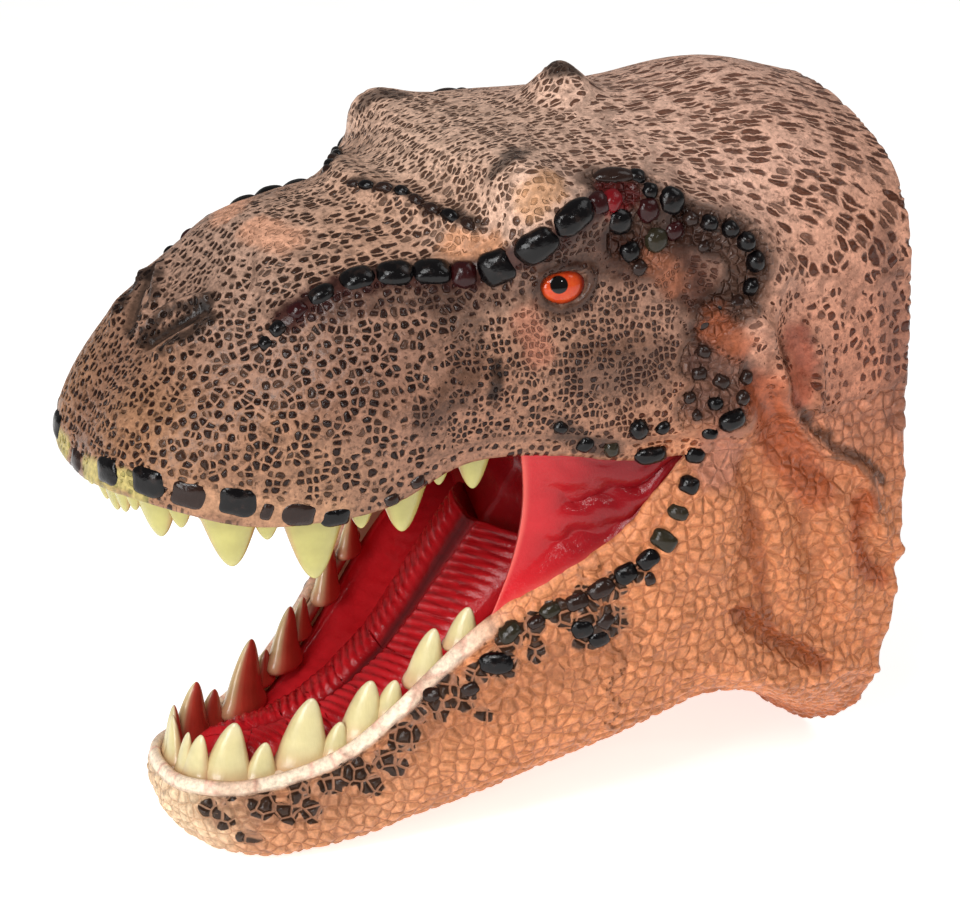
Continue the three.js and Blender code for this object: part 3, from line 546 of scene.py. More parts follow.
def cellPlaces(points, zone):
    # where a point lies among its zone's own cells, where a cell is about 1 across. The neck's
    # cells run in rings round a middle, the others fill the space.
    places = np.zeros(points.shape)
    away = points - flowMiddle
    ring = np.hypot(away[:, 0], away[:, 2])
    turn = np.arctan2(away[:, 2], -away[:, 0]) * flowRadius["round"]
    flow = np.arctan2(ring, away[:, 1]) * flowRadius["across"]
    rings = np.stack([turn, flow, np.zeros(len(points))], -1)
    warp = np.stack([waves(points, 11, 5 + k) for k in range(3)], -1) * 0.6
    for index, (name, (cell, *look)) in enumerate(scaleZones.items()):
        mine = zone == index
        grid = (rings if name in ("neck", "rearNeck") else points)[mine]
        places[mine] = (grid + warp[mine]) / cell + index * 40
    return places


# Paints, airbrushed round these places: pixel, reach in mm, the raised net's and the pits' colour
skinPaints = {
    "snoutSide": [(190, 400), 34, "#88614C", "#22100A"],
    "snoutTop": [(240, 270), 20, "#B4927F", "#38261D"],
    "snoutFoot": [(150, 430), 14, "#A97C59", "#2E180E"],
    "cheekOval": [(378, 370), 20, "#85604F", "#1C0B07"],
    "lipZone": [(300, 480), 15, "#AC8062", "#220E07"],
    "lipBack": [(500, 420), 18, "#A2745C", "#220E08"],
    "forehead": [(470, 130), 36, "#DCB69E", "#5A4132"],
    "browStep": [(380, 225), 16, "#B2866C", "#331B13"],
    "temple": [(590, 350), 22, "#8A634E", "#240E08"],
    # dark paint under the brow's beads, darker still as the brow's painted shadow
    "underBrow": [(640, 268), 15, "#744C3C", "#1A0A06"],
    "neckHump": [(700, 120), 40, "#E6BAA4", "#785040"],
    "neckTop": [(850, 230), 34, "#BE866C", "#422010"],
    "neckMid": [(850, 370), 24, "#B4735B", "#4E241A"],
    "neckLow": [(800, 540), 34, "#CC8055", "#8A431F"],
    "throatLow": [(700, 620), 30, "#CB8358", "#8A4624"],
    "jawMid": [(560, 720), 34, "#CF8659", "#834526"],
    "jawFront": [(330, 810), 26, "#C98C64", "#6A3A20"],
    "chin": [(180, 800), 14, "#E4C8A4", "#9A6A46"],
}
paintPlaces = atPixels([paint[0] for paint in skinPaints.values()])

# Blots and streaks of paint over them, some of them painted shade: reach in mm, colour, strength and pixels
skinBlots = {
    "orangePatch": [4.2, "#DDA283", 0.85, (255, 228), (285, 238)],
    "orangeBrow": [3.2, "#D2956E", 0.85, (452, 246), (492, 248)],
    "hornPatch": [3.6, "#D09A70", 0.75, (530, 202), (552, 182)],
    "crestPaint": [1.7, "#1D1311", 0.85, (351, 183), (400, 190), (422, 203), (475, 226)],
    "hornTip": [2.6, "#15100E", 0.9, (558, 68), (572, 69)],
    "farHorn": [3, "#1F1613", 0.75, (366, 100), (384, 92), (398, 94)],
    "browRed": [3.2, "#2A070A", 0.92, (285, 318), (330, 290), (395, 273), (470, 276), (540, 250),
        (600, 205)],
    "browShade": [3, "#2A1210", 0.6, (330, 312), (395, 296), (470, 300), (520, 288)],
    "browBright": [2.8, "#8E0C16", 0.95, (606, 186), (632, 192), (618, 206)],
    "browPatch": [5.4, "#240F0A", 0.85, (600, 180), (640, 190), (650, 232), (620, 235),
        (672, 215)],
    # dark paint under the brow's beads, darker still as the brow's painted shadow
    "underBrow": [5.2, "#30130A", 0.8, (545, 262), (585, 246), (625, 260), (662, 262),
        (690, 290)],
    "innerArc": [4.6, "#4A2A20", 0.7, (690, 240), (706, 264), (704, 296)],
    "jawBrown": [7, "#9A6040", 0.55, (430, 716), (490, 700), (550, 666), (610, 645)],
    "chinBrown": [4.5, "#8A5A40", 0.5, (215, 812), (300, 812), (380, 775), (425, 715)],
    "templeOrange": [3.4, "#9A5E44", 0.7, (655, 262), (672, 282)],
    "rearArc": [5.6, "#26140E", 0.9, (690, 225), (735, 235), (752, 262), (738, 300), (710, 322)],
    "nostrilPaint": [2.2, "#040202", 1.0, (150, 340), (172, 326), (200, 310)],
    "nostrilRim": [2.0, "#120B09", 0.85, (140, 340), (168, 310), (208, 300), (206, 322),
        (165, 348)],
    # painted shade along the back edge of the raised cheek oval
    "backOfCheekShade": [4, "#24120D", 0.5, (440, 300), (468, 340), (466, 380), (430, 420)],
    "cheekSpots": [2, "#0E0908", 0.85, (497, 368), (495, 392)],
    "jawShadow": [6, "#24120D", 0.5, (590, 370), (650, 372), (690, 350)],
    # a thin dark line painted round the lids, widened with painted shade of the lids
    "eyeCorner": [2.0, "#2A130B", 0.85, (536, 292), (546, 272), (570, 265), (590, 278),
        (584, 302), (556, 309), (538, 298)],
    "eyeBelow": [3.6, "#B5725A", 0.6, (528, 322), (540, 350)],
    "cornerDark": [2.6, "#2B201C", 0.7, (560, 428), (585, 442), (612, 450)],
    "bumpDark": [5, "#4A312B", 0.8, (706, 362), (728, 366), (746, 384), (740, 404), (700, 404)],
    "bumpPink": [4.6, "#A8705F", 0.65, (722, 440), (712, 470), (736, 462)],
    "lipEdge": [2.4, "#B8AC66", 0.75, (60, 458), (86, 468), (124, 480), (140, 488)],
    "scuteRims": [3.2, "#B98B6A", 0.6, (186, 496), (238, 505), (299, 517), (336, 522)],
    # painted shade: darker orange in the sunk fold beside the long fold's ridge
    "hollowOrangeShade": [3.6, "#9E5638", 0.85, (712, 322), (728, 338), (744, 350)],
    "foldLine": [1.0, "#4E3020", 0.8, (746, 306), (774, 352), (782, 400), (804, 432), (826, 453),
        (856, 462), (872, 478), (876, 508)],
    # painted shade: dark brown along the shaded side of the long fold's ridge
    "foldRightShade": [1.3, "#3C261C", 0.8, (754, 303), (784, 350), (792, 398), (813, 427), (836, 448),
        (866, 458), (884, 480)],
    "innerLine": [1.1, "#4A2A20", 0.7, (804, 324), (819, 355), (821, 392), (811, 419)],
    # painted shade: darker orange in the hollows and creases of the neck and throat, here and in the next
    # four rows
    "deepFoldShade": [5.4, "#9E4C2A", 0.8, (764, 396), (774, 430), (794, 462), (816, 490)],
    "throatCreaseShade": [1.8, "#8A4728", 0.7, (752, 500), (757, 550), (761, 590), (768, 614)],
    "jawFoldShade": [2.6, "#A65E3A", 0.6, (742, 478), (750, 516), (746, 552)],
    "pocketShade": [3, "#9E4E2C", 0.85, (864, 500), (858, 532), (862, 560), (882, 578)],
    "lowHollowShade": [5.5, "#A65A30", 0.6, (704, 700), (760, 712), (820, 722), (870, 715)],
    "redGroove": [3, "#93432F", 0.7, (795, 335), (804, 362), (804, 396)],
    # painted shade: darker orange down in the low slot
    "lowSlotShade": [3, "#823E1E", 0.85, (742, 612), (764, 628), (790, 646), (822, 662)],
    "neckRows": [4, "#4A2E28", 0.45, (884, 240), (896, 330), (900, 420)],
}
# Dark paint laid cell by cell below the lower lip: pixel and reach in mm of each blotch
jawBlots = [
    [(208, 806), 2.2], [(228, 792), 2.4], [(222, 822), 2.2], [(250, 786), 2.2],
    [(262, 806), 3.4], [(250, 838), 2.6], [(300, 792), 2.8], [(288, 814), 2.6],
    [(312, 812), 2.4], [(330, 784), 2.8], [(352, 770), 3.6], [(370, 786), 2.6],
    [(386, 760), 2.6], [(404, 738), 3.2], [(398, 768), 2.2], [(428, 692), 3.4],
    [(448, 684), 2.8], [(462, 700), 2.8], [(440, 712), 2], [(498, 664), 3.6],
    [(510, 636), 3], [(534, 624), 2.8], [(476, 676), 2.4], [(560, 612), 3],
    [(590, 630), 4.2], [(612, 622), 3.6], [(584, 600), 3], [(612, 588), 3], [(536, 652), 2.2],
    [(636, 574), 2.4], [(484, 716), 2], [(416, 716), 1.8],
]
blotLines = {name: atPixels(blot[3:]) for name, blot in skinBlots.items()}
blotPlaces = atPixels([pixel for pixel, reach in jawBlots])
# lines along which the skin has no scales, and how far in mm that reaches
plainPlaces = [(foldLines["nostril"], 1.6), (blotLines["browRed"], 0.6),
               (blotLines["scuteRims"], 2.2), (foldLines["redGroove"], 2),
               (foldLines["longFold"], 1.0), (foldLines["foldShade"], 1.6)]


def mixColors(base, color, amount):
    return base + (np.array(linearColor(color)[:3]) - base) * amount[..., None]


def paintedColors(points, station, column, isUpper):
    place = onNearSide(points)
    drift = np.stack([waves(points, 31, 11 + k) for k in range(3)], -1) * 5
    total, net, pit = 0, 0, 0
    for middle, (pixel, reach, netPaint, pitPaint) in zip(paintPlaces, skinPaints.values()):
        away = np.linalg.norm(place + drift - middle, axis=-1) / reach
        weight = np.exp(-away ** 2) + 1e-5 / (1 + away ** 2)
        net = net + weight[..., None] * np.array(linearColor(netPaint)[:3])
        pit = pit + weight[..., None] * np.array(linearColor(pitPaint)[:3])
        total = total + weight
    net, pit = net / total[..., None], pit / total[..., None]
    patchy = waves(points, 23, 21) * 0.6 + waves(points, 9, 22) * 0.4
    net = net * (1 + 0.13 * patchy[..., None])
    pit = pit * (1 - 0.16 * patchy[..., None])
    ragged = place + np.stack([waves(points, 6, 31 + k) for k in range(3)], -1) * 1.2
    # these blots lay both the paint and the painted shade in folds and hollows
    for name, (reach, color, strength, *pixels) in skinBlots.items():
        where = place if strength == 1 else ragged  # the nostril's slit is even
        away = distanceToLine(where, blotLines[name]) / reach
        amount = strength * softStep(-away, -1.5, -0.6)
        net = mixColors(net, color, amount)
        pit = mixColors(pit, color, amount * (0.8 if strength < 1 else 1))
    cells = np.zeros(station.shape)
    if not isUpper:
        for middle, (pixel, reach) in zip(blotPlaces, jawBlots):
            away = np.linalg.norm(ragged - middle, axis=-1) / reach
            cells = np.maximum(cells, softStep(-away, -1.5, -0.5))
        gum = softStep(-column, -0.42, -0.22) * softStep(-station, -8.2, -6.6)
        net = mixColors(net, "#F0DCC2", gum)
        pit = mixColors(pit, "#DFA08C", gum)
        brown = softStep(cells, 0.02, 0.5)
        net = mixColors(net, "#B4876C", 0.5 * brown)
        pit = mixColors(pit, "#5A3626", 0.5 * brown)
        cells = cells * (1 - gum)
    return net, pit, cells


smooth = {"interpolation_type": "SMOOTHSTEP"}


def scaleRelief(tree, place, look):
    # Cells of scales, the same in the mesh and in the paint. It gives the distance from a
    # cell's rim, the pit's share, the height in mm and the cell's own random shade.
    settings = {"Vector": place, "Scale": 1.0, "Randomness": 0.66}
    edge = addNode(tree, "TexVoronoi", settings, feature="DISTANCE_TO_EDGE").outputs["Distance"]
    cell = addNode(tree, "TexVoronoi", settings, feature="F1")
    pits, height, spread = addNode(tree, "SeparateXYZ", {0: look}).outputs
    # corners of the cells are rounded off by the distance from the cell's middle
    widest = addNode(tree, "MapRange", {"Value": pits, 1: 0.0, 2: 1.0, 3: 0.92, 4: 0.64})
    inner = addNode(tree, "Math", {0: widest, 1: cell.outputs["Distance"]}, operation="SUBTRACT")
    rim = addNode(tree, "Math", {0: edge, 1: inner, 2: 0.12}, operation="SMOOTH_MIN")
    over = addNode(tree, "Math", {0: rim, 1: spread}, operation="SUBTRACT")
    pit = addNode(tree, "MapRange", {"Value": over, 1: -0.02, 2: 0.1, 3: 0.0, 4: 1.0}, **smooth)
    # a pit's floor swells in its middle, so that each one holds a highlight
    swell = addNode(tree, "MapRange", {"Value": rim, 1: 0.16, 2: 0.42, 3: -1.0, 4: -0.35},
        **smooth)
    sunk = addNode(tree, "Math", {0: pit, 1: swell}, operation="MULTIPLY")
    dome = addNode(tree, "MapRange", {"Value": rim, 1: -0.02, 2: 0.32, 3: -1.0, 4: 0.0}, **smooth)
    shape = addNode(tree, "Mix", {0: pits, 2: dome, 3: sunk}, data_type="FLOAT")
    tall = addNode(tree, "Math", {0: shape, 1: height}, operation="MULTIPLY")
    shade = addNode(tree, "SeparateXYZ", {0: cell.outputs["Color"]})
    return rim, pit, tall, shade, pits


reliefHeight = 0.0007  # how tall in metres a scale of height 1 stands


def reliefModifier():
    tree = bpy.data.node_groups.new("scaleRelief", "GeometryNodeTree")
    tree.interface.new_socket("Geometry", in_out="INPUT", socket_type="NodeSocketGeometry")
    tree.interface.new_socket("Geometry", in_out="OUTPUT", socket_type="NodeSocketGeometry")
    start = addNode(tree, "NodeGroupInput")
    place = addNode(tree, "GeometryNodeInputNamedAttribute", {"Name": "scalePlace"},
        data_type="FLOAT_VECTOR")
    look = addNode(tree, "GeometryNodeInputNamedAttribute", {"Name": "scaleLook"},
        data_type="FLOAT_VECTOR")
    height = scaleRelief(tree, place.outputs[0], look.outputs[0])[2]
    metres = addNode(tree, "Math", {0: height, 1: reliefHeight}, operation="MULTIPLY")
    normal = addNode(tree, "GeometryNodeInputNormal")
    move = addNode(tree, "VectorMath", {0: normal, "Scale": metres}, operation="SCALE")
    lifted = addNode(tree, "GeometryNodeSetPosition", {"Geometry": start, "Offset": move})
    addNode(tree, "NodeGroupOutput", {0: lifted})
    return tree


def newMaterial(name):
    material = bpy.data.materials.new(name)
    material.use_nodes = True
    tree = material.node_tree
    tree.nodes.clear()
    shader = addNode(tree, "BsdfPrincipled")
    addNode(tree, "OutputMaterial", {"Surface": shader})
    return material, tree, shader


def skinMaterial():
    # Soft vinyl rubber, cast in a mould and airbrushed: tan is wiped over the raised scales,
    # dark brown stays in the pits, which keep a wet shine while the high parts are satin
    material, tree, shader = newMaterial("airbrushedVinylRubber")
    layers = {"scalePlace": "Vector", "scaleLook": "Vector", "netPaint": "Color",
              "pitPaint": "Color", "cellPaint": "Fac"}
    place, look, net, pitColor, blotch = (
        addNode(tree, "Attribute", attribute_name=name).outputs[output]
        for name, output in layers.items())
    rim, pit, height, shade, pits = scaleRelief(tree, place, look)
    here = addNode(tree, "TexCoord").outputs["Object"]
    grain = addNode(tree, "TexNoise", {"Vector": here, "Scale": 1 / 0.0011, "Detail": 3.0,
        "Roughness": 0.65})
    smear = addNode(tree, "TexNoise", {"Vector": here, "Scale": 1 / 0.0042, "Detail": 4.0,
        "Roughness": 0.7})
    # dark paint lies in the pits, or in the grooves between the cobbles
    inGroove = addNode(tree, "MapRange", {"Value": rim, 1: -0.01, 2: 0.11, 3: 0.62, 4: 0.0},
        **smooth)
    sunk = addNode(tree, "Mix", {0: pits, 2: inGroove, 3: pit}, data_type="FLOAT")
    # some cells took less paint than others, and a smear of it lies over the net
    taken = addNode(tree, "MapRange", {"Value": shade, 1: 0.0, 2: 0.3, 3: 0.7, 4: 1.0}, **smooth)
    amount = addNode(tree, "Math", {0: sunk, 1: taken}, operation="MULTIPLY")
    film = addNode(tree, "MapRange", {"Value": smear, 1: 0.48, 2: 0.72, 3: 0.0, 4: 0.5}, **smooth)
    fleck = addNode(tree, "TexNoise", {"Vector": here, "Scale": 1 / 0.0013, "Detail": 2.0,
        "Roughness": 0.7})
    flecks = addNode(tree, "MapRange", {"Value": fleck, 1: 0.53, 2: 0.64, 3: 0.0, 4: 0.5},
        **smooth)
    dirt = addNode(tree, "Math", {0: film, 1: flecks}, operation="MAXIMUM")
    filmed = addNode(tree, "Math", {0: dirt, 1: pits}, operation="MULTIPLY")
    shown = addNode(tree, "Math", {0: amount, 1: filmed}, operation="MAXIMUM")
    mixed = addNode(tree, "Mix", {0: shown, 6: net, 7: pitColor}, data_type="RGBA").outputs[2]
    # whole cells painted near black, the net between them left pale
    wander = addNode(tree, "Math", {0: shade, 1: 0.5, 2: blotch}, operation="MULTIPLY_ADD")
    dark = addNode(tree, "MapRange", {"Value": wander, 1: 0.5, 2: 0.66, 3: 0.0, 4: 1.0}, **smooth)
    inCell = addNode(tree, "MapRange", {"Value": rim, 1: 0.03, 2: 0.11, 3: 0.12, 4: 0.96},
        **smooth)
    laid = addNode(tree, "Math", {0: dark, 1: inCell}, operation="MULTIPLY")
    painted = addNode(tree, "Mix", {0: laid, 6: mixed, 7: linearColor("#241812")},
        data_type="RGBA").outputs[2]
    tone = addNode(tree, "MapRange", {"Value": grain, 1: 0.3, 2: 0.7, 3: 0.72, 4: 1.26})
    cellTone = addNode(tree, "MapRange", {"Value": shade, 1: 0.0, 2: 1.0, 3: 0.86, 4: 1.1})
    value = addNode(tree, "Math", {0: tone, 1: cellTone}, operation="MULTIPLY")
    color = addNode(tree, "HueSaturation", {"Color": painted, "Value": value})
    # the darker the paint, the thicker it lies and the more it shines
    lightness = addNode(tree, "RGBToBW", {"Color": color})
    shine = addNode(tree, "MapRange", {"Value": lightness, 1: 0.01, 2: 0.22, 3: 0.16, 4: 0.42})
    # only the nostril's black is darker still, and it is matt
    wet = addNode(tree, "MapRange", {"Value": lightness, 1: 0.0012, 2: 0.004, 3: 0.8, 4: shine})
    # the mesh has the cells' height; the bump adds their crisp edges and the rubber's grain
    crisp = addNode(tree, "Math", {0: grain, 1: 0.16, 2: height}, operation="MULTIPLY_ADD")
    bump = addNode(tree, "Bump", {"Height": crisp, "Strength": 1.0, "Distance": 0.0008})
    mirror = addNode(tree, "MapRange", {"Value": lightness, 1: 0.0012, 2: 0.006, 3: 0.02,
        4: 0.22})
    setSockets(tree, shader, {"Base Color": color, "Roughness": wet, "Normal": bump,
        "Specular IOR Level": mirror})
    return material


def plainRubber():
    # The same rubber where no paint went, inside the puppet: matt, orange tan, faintly mottled
    material, tree, shader = newMaterial("unpaintedVinylRubber")
    here = addNode(tree, "TexCoord").outputs["Object"]
    mottle = addNode(tree, "TexNoise", {"Vector": here, "Scale": 1 / 0.009, "Detail": 4.0,
        "Roughness": 0.6})
    grain = addNode(tree, "TexNoise", {"Vector": here, "Scale": 1 / 0.0012, "Detail": 2.0})
    color = addNode(tree, "Mix", {0: mottle, 6: linearColor("#C98B66"),
        7: linearColor("#E2A67F")}, data_type="RGBA").outputs[2]
    bump = addNode(tree, "Bump", {"Height": grain, "Strength": 0.4, "Distance": 0.0003})
    setSockets(tree, shader, {"Base Color": color, "Normal": bump, "Roughness": 0.6})
    return material


skinRubber, insideRubber = skinMaterial(), plainRubber()
relief = reliefModifier()

# How finely the skins are cut: faces along the head, across half of it, and on the inside
skinMesh = {
    "upperAlong": 236, "lowerAlong": 196, "neckAlong": 62, "upperAcross": 132,
    "lowerAcross": 122, "insideAlong": 70, "insideAcross": 34, "lipRadius": 1.3,
    "cuffRadius": 1.1, "seamRadius": 0.015, "rollSteps": 4,
}


def evenValues(points, values, count):
    # values of a curve's parameter at even steps of its length
    steps = np.linalg.norm(np.diff(points, axis=0), axis=-1)
    length = np.concatenate([[0], np.cumsum(steps)])
    return np.interp(np.linspace(0, length[-1], count + 1), length, values)


def evenStations(half, start, end, column, count):
    values = np.linspace(start, end, 600)
    return evenValues(half.bare(values, column), values, count)


def evenColumns(half, count):
    values = np.linspace(0, half.lastColumn, 400)
    found = [evenValues(half.bare(u, values), values, count) for u in (3, 6, 8, 10, 12)]
    return np.mean(found, axis=0)


neckStations = evenStations(upper, cornerStation, cuffStation, 0, skinMesh["neckAlong"])


def gridSheet(bm, half, stations, columns, lift=None, flip=False):
    # half a sheet from a grid, mirrored to the other side
    along, across = len(stations) - 1, len(columns) - 1
    verts = bmesh.ops.create_grid(bm, x_segments=along, y_segments=across, size=0.5)["verts"]
    flat = np.array([v.co[:2] for v in verts]) + 0.5
    u = stations[np.rint(flat[:, 0] * along).astype(int)]
    v = columns[np.rint(flat[:, 1] * across).astype(int)]
    points = half.outside(u, v) if lift is None else half.inside(u, v, lift)
    points = points * unit
    stationLayer = bm.verts.layers.float["station"]
    columnLayer = bm.verts.layers.float["column"]
    for vert, point, station, column in zip(verts, points, u, v):
        vert.co = point
        vert[stationLayer] = station
        vert[columnLayer] = column
    faces = list({face for vert in verts for face in vert.link_faces})
    edges = list({edge for face in faces for edge in face.edges})
    both = bmesh.ops.mirror(bm, geom=verts + edges + faces, merge_dist=1e-6, axis="Y")
    allVerts = verts + [g for g in both["geom"] if isinstance(g, bmesh.types.BMVert)]
    sheet = list({face for vert in allVerts if vert.is_valid for face in vert.link_faces})
    bmesh.ops.recalc_face_normals(bm, faces=sheet)
    middle = Vector(points.mean(0) * acrossMiddle * [1, 0, 1])
    outward = sum((f.normal.dot(f.calc_center_median() - middle) > 0) for f in sheet[::7])
    if (outward < len(sheet[::7]) / 2) != flip:
        bmesh.ops.reverse_faces(bm, faces=sheet)
    return sheet


def setPattern(mesh, isUpper):
    count = len(mesh.vertices)
    points = np.zeros(count * 3)
    station, column = np.zeros(count), np.zeros(count)
    mesh.vertices.foreach_get("co", points)
    mesh.attributes["station"].data.foreach_get("value", station)
    mesh.attributes["column"].data.foreach_get("value", column)
    points = points.reshape(-1, 3) / unit
    zone = chooseZones(points, station, column, isUpper)
    places = cellPlaces(points, zone)
    looks = np.array([row[1:] for row in scaleZones.values()])[zone]
    # where two zones meet the pits close, so that a plain line of the net joins them
    ends = np.zeros(len(mesh.edges) * 2, int)
    mesh.edges.foreach_get("vertices", ends)
    ends = ends.reshape(-1, 2)
    meeting = ends[zone[ends[:, 0]] != zone[ends[:, 1]]].ravel()
    looks[meeting, 1] = 0
    looks[meeting, 2] = 0.7
    nearEye = onNearSide(points) - eyeAxes()[0]
    plain = softStep(-np.linalg.norm(nearEye / eye["plain"], axis=-1), -1.1, -0.9)
    for line, reach in plainPlaces:
        away = distanceToLine(onNearSide(points), line)
        plain = np.maximum(plain, softStep(-away, -reach - 0.8, -reach))
    lipEdge = (softStep(-column, -0.3, -0.1)
               * softStep(-station, -cornerStation, 0.3 - cornerStation))
    looks[:, 1] *= (1 - plain) * (1 - 0.8 * lipEdge)
    if isUpper:  # towards the lip the pits are smaller
        looks[:, 2] += 0.07 * softStep(-column, -1, -0.3) * softStep(-station, -9, -8)
    looks[:, 2] += 0.7 * plain
    net, pit, cells = paintedColors(points, station, column, isUpper)
    net[meeting] *= 0.7
    for name, values in (("scalePlace", places), ("scaleLook", looks)):
        layer = mesh.attributes.new(name, "FLOAT_VECTOR", "POINT")
        layer.data.foreach_set("vector", values.astype(np.float32).ravel())
    for name, values in (("netPaint", net), ("pitPaint", pit)):
        layer = mesh.attributes.new(name, "FLOAT_COLOR", "POINT")
        flat = np.concatenate([values, np.ones((count, 1))], 1)
        layer.data.foreach_set("color", flat.astype(np.float32).ravel())
    layer = mesh.attributes.new("cellPaint", "FLOAT", "POINT")
    layer.data.foreach_set("value", cells.astype(np.float32))


def applyModifiers(piece):
    graph = bpy.context.evaluated_depsgraph_get()
    mesh = bpy.data.meshes.new_from_object(piece.evaluated_get(graph))
    piece.modifiers.clear()
    piece.data = mesh


def newPiece(name, mesh, *materials):
    piece = bpy.data.objects.new(name, mesh)
    bpy.context.scene.collection.objects.link(piece)
    for material in materials:
        mesh.materials.append(material)
    return piece


def borderOrder(vert, layers):
    # where a border vertex stands on the way from the lip's middle back to the cuff's top
    station, column = vert[layers[0]], vert[layers[1]]
    return station if station < cuffStation - 1e-4 else cuffStation + column


def rollBorder(bm, border, radiusOf, layers):
    # turns the open border of a sheet inwards round a half circle, a ring at a time
    bm.normal_update()
    inBorder = set(border)
    frames = {}
    for vert in {v for e in border for v in e.verts}:
        along = Vector()
        for edge in vert.link_edges:
            if edge in inBorder:
                step = edge.other_vert(vert).co - vert.co
                along += step if along.dot(step) >= 0 else -step
        centre = sum((f.calc_center_median() for f in vert.link_faces), Vector())
        centre /= len(vert.link_faces)
        normal = vert.normal.copy()
        away = along.cross(normal).normalized()
        if away.dot(vert.co - centre) < 0:
            away.negate()
        side = 0 if abs(vert.co.y) < 1e-6 else math.copysign(1, vert.co.y)
        frames[vert] = (vert.co.copy(), normal, away, radiusOf(vert[layers[0]]),
                        borderOrder(vert, layers), side)
    for edge in border:
        edge.smooth = min(v[layers[0]] for v in edge.verts) < cornerStation - 0.2
    steps = skinMesh["rollSteps"]
    for k in range(1, steps + 1):
        angle = math.pi * k / steps
        made = bmesh.ops.extrude_edge_only(bm, edges=border)["geom"]
        fresh = [g for g in made if isinstance(g, bmesh.types.BMVert)]
        border = [g for g in made if isinstance(g, bmesh.types.BMEdge) and len(g.link_faces) == 1]
        moved = {}
        for vert in fresh:
            old = next(e.other_vert(vert) for e in vert.link_edges
                       if e.other_vert(vert) in frames)
            start, normal, away, radius = frames[old][:4]
            vert.co = (start + normal * (radius * (math.cos(angle) - 1))
                       + away * (radius * math.sin(angle)))
            moved[vert] = frames[old]
        frames = moved
    return [(vert, *frame[4:]) for vert, frame in frames.items()]


def stitchBorders(bm, outer, inner):
    # joins the rolled rim to the coarser inside: both borders run from the lip's middle back
    # to the cuff's top on each side
    faces = []
    for side in (1, -1):
        rows = [sorted(((order, vert) for vert, order, where in border if where in (0, side)),
                       key=lambda pair: pair[0]) for border in (outer, inner)]
        a, b = 0, 0
        while a + 1 < len(rows[0]) or b + 1 < len(rows[1]):
            nextA = rows[0][a + 1][0] if a + 1 < len(rows[0]) else 1e9
            nextB = rows[1][b + 1][0] if b + 1 < len(rows[1]) else 1e9
            here = (rows[0][a][1], rows[1][b][1])
            if nextA <= nextB:
                a += 1
                faces.append(bm.faces.new((*here, rows[0][a][1])))
            else:
                b += 1
                faces.append(bm.faces.new((*here, rows[1][b][1])))
    return faces


def skinPiece(name, half, stations, columns, isUpper):
    bm = bmesh.new()
    bm.verts.layers.float.new("station")
    bm.verts.layers.float.new("column")
    gridSheet(bm, half, stations, columns)
    for face in bm.faces:
        face.smooth = True
    mesh = bpy.data.meshes.new(name)
    bm.to_mesh(mesh)
    bm.free()
    setPattern(mesh, isUpper)
    piece = newPiece(name, mesh, skinRubber, insideRubber)
    modifier = piece.modifiers.new("relief", "NODES")
    modifier.node_group = relief
    applyModifiers(piece)
    closeShell(piece, half)
    return piece


def closeShell(piece, half):
    # gives the sheet its wall: a rolled rim and an inside, coarser because it is smooth
    mm = float(unit.mean())

    def radiusOf(station):
        if station >= cuffStation - 0.01:
            return skinMesh["cuffRadius"] * mm
        lip = softStep(np.array(cornerStation - station), 0.1, 0.8)
        return float(skinMesh["seamRadius"] + (skinMesh["lipRadius"] - skinMesh["seamRadius"])
                     * lip) * mm

    bm = bmesh.new()
    bm.from_mesh(piece.data)
    layers = [bm.verts.layers.float[name] for name in ("station", "column")]
    border = [e for e in bm.edges if len(e.link_faces) == 1]
    outer = rollBorder(bm, border, radiusOf, layers)
    rolled = set(bm.faces)
    stations = evenStations(half, 0, cuffStation, 1, skinMesh["insideAlong"])
    columns = evenColumns(half, skinMesh["insideAcross"])
    inside = gridSheet(bm, half, stations, columns, skinWall, flip=True)
    rim = {v for f in inside for e in f.edges if len(e.link_faces) == 1 for v in e.verts}
    inner = [(vert, borderOrder(vert, layers),
              0 if abs(vert.co.y) < 1e-6 else math.copysign(1, vert.co.y)) for vert in rim]
    for face in inside:
        face.material_index = 1
        face.smooth = True
    for face in stitchBorders(bm, outer, inner):
        face.material_index = 1
    for face in rolled:
        face.smooth = True
    bmesh.ops.recalc_face_normals(bm, faces=bm.faces[:])
    if bm.calc_volume(signed=True) < 0:
        bmesh.ops.reverse_faces(bm, faces=bm.faces[:])
    bm.to_mesh(piece.data)
    bm.free()


upperStationsMade = np.concatenate([
    evenStations(upper, 0, cornerStation, 1.5, skinMesh["upperAlong"])[:-1], neckStations])
lowerStationsMade = np.concatenate([
    evenStations(lower, 0, cornerStation, 1, skinMesh["lowerAlong"])[:-1], neckStations])

upperSkin = skinPiece("upper_skin", upper, upperStationsMade,
                      evenColumns(upper, skinMesh["upperAcross"]), True)
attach(upperSkin, "head")
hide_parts("head_skin", "neck_skin")
print("upper skin made:", len(upperSkin.data.polygons), "faces")

lowerSkin = skinPiece("lower_skin", lower, lowerStationsMade,
                      evenColumns(lower, skinMesh["lowerAcross"]), False)
foldStart, foldEnd = (-0.036, 0, 0.097), (-0.0088, 0, 0.0766)
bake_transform(lowerSkin, "head", "jaw", start=foldStart, end=foldEnd)
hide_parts("jaw_skin", "throat_skin")
print("lower skin made:", len(lowerSkin.data.polygons), "faces")

# Mouth: gum rails inside the lips carry the teeth, linings span from rail to rail
gum = {"width": 3.6, "height": 4.6, "shown": 3.6, "behindLip": skinWall + 0.3,
       "collar": 1.3, "stationLength": 10.0}
lining = {"wall": 1.8, "gap": 0.3, "palateEnd": 10.2, "floorEnd": 9.9}


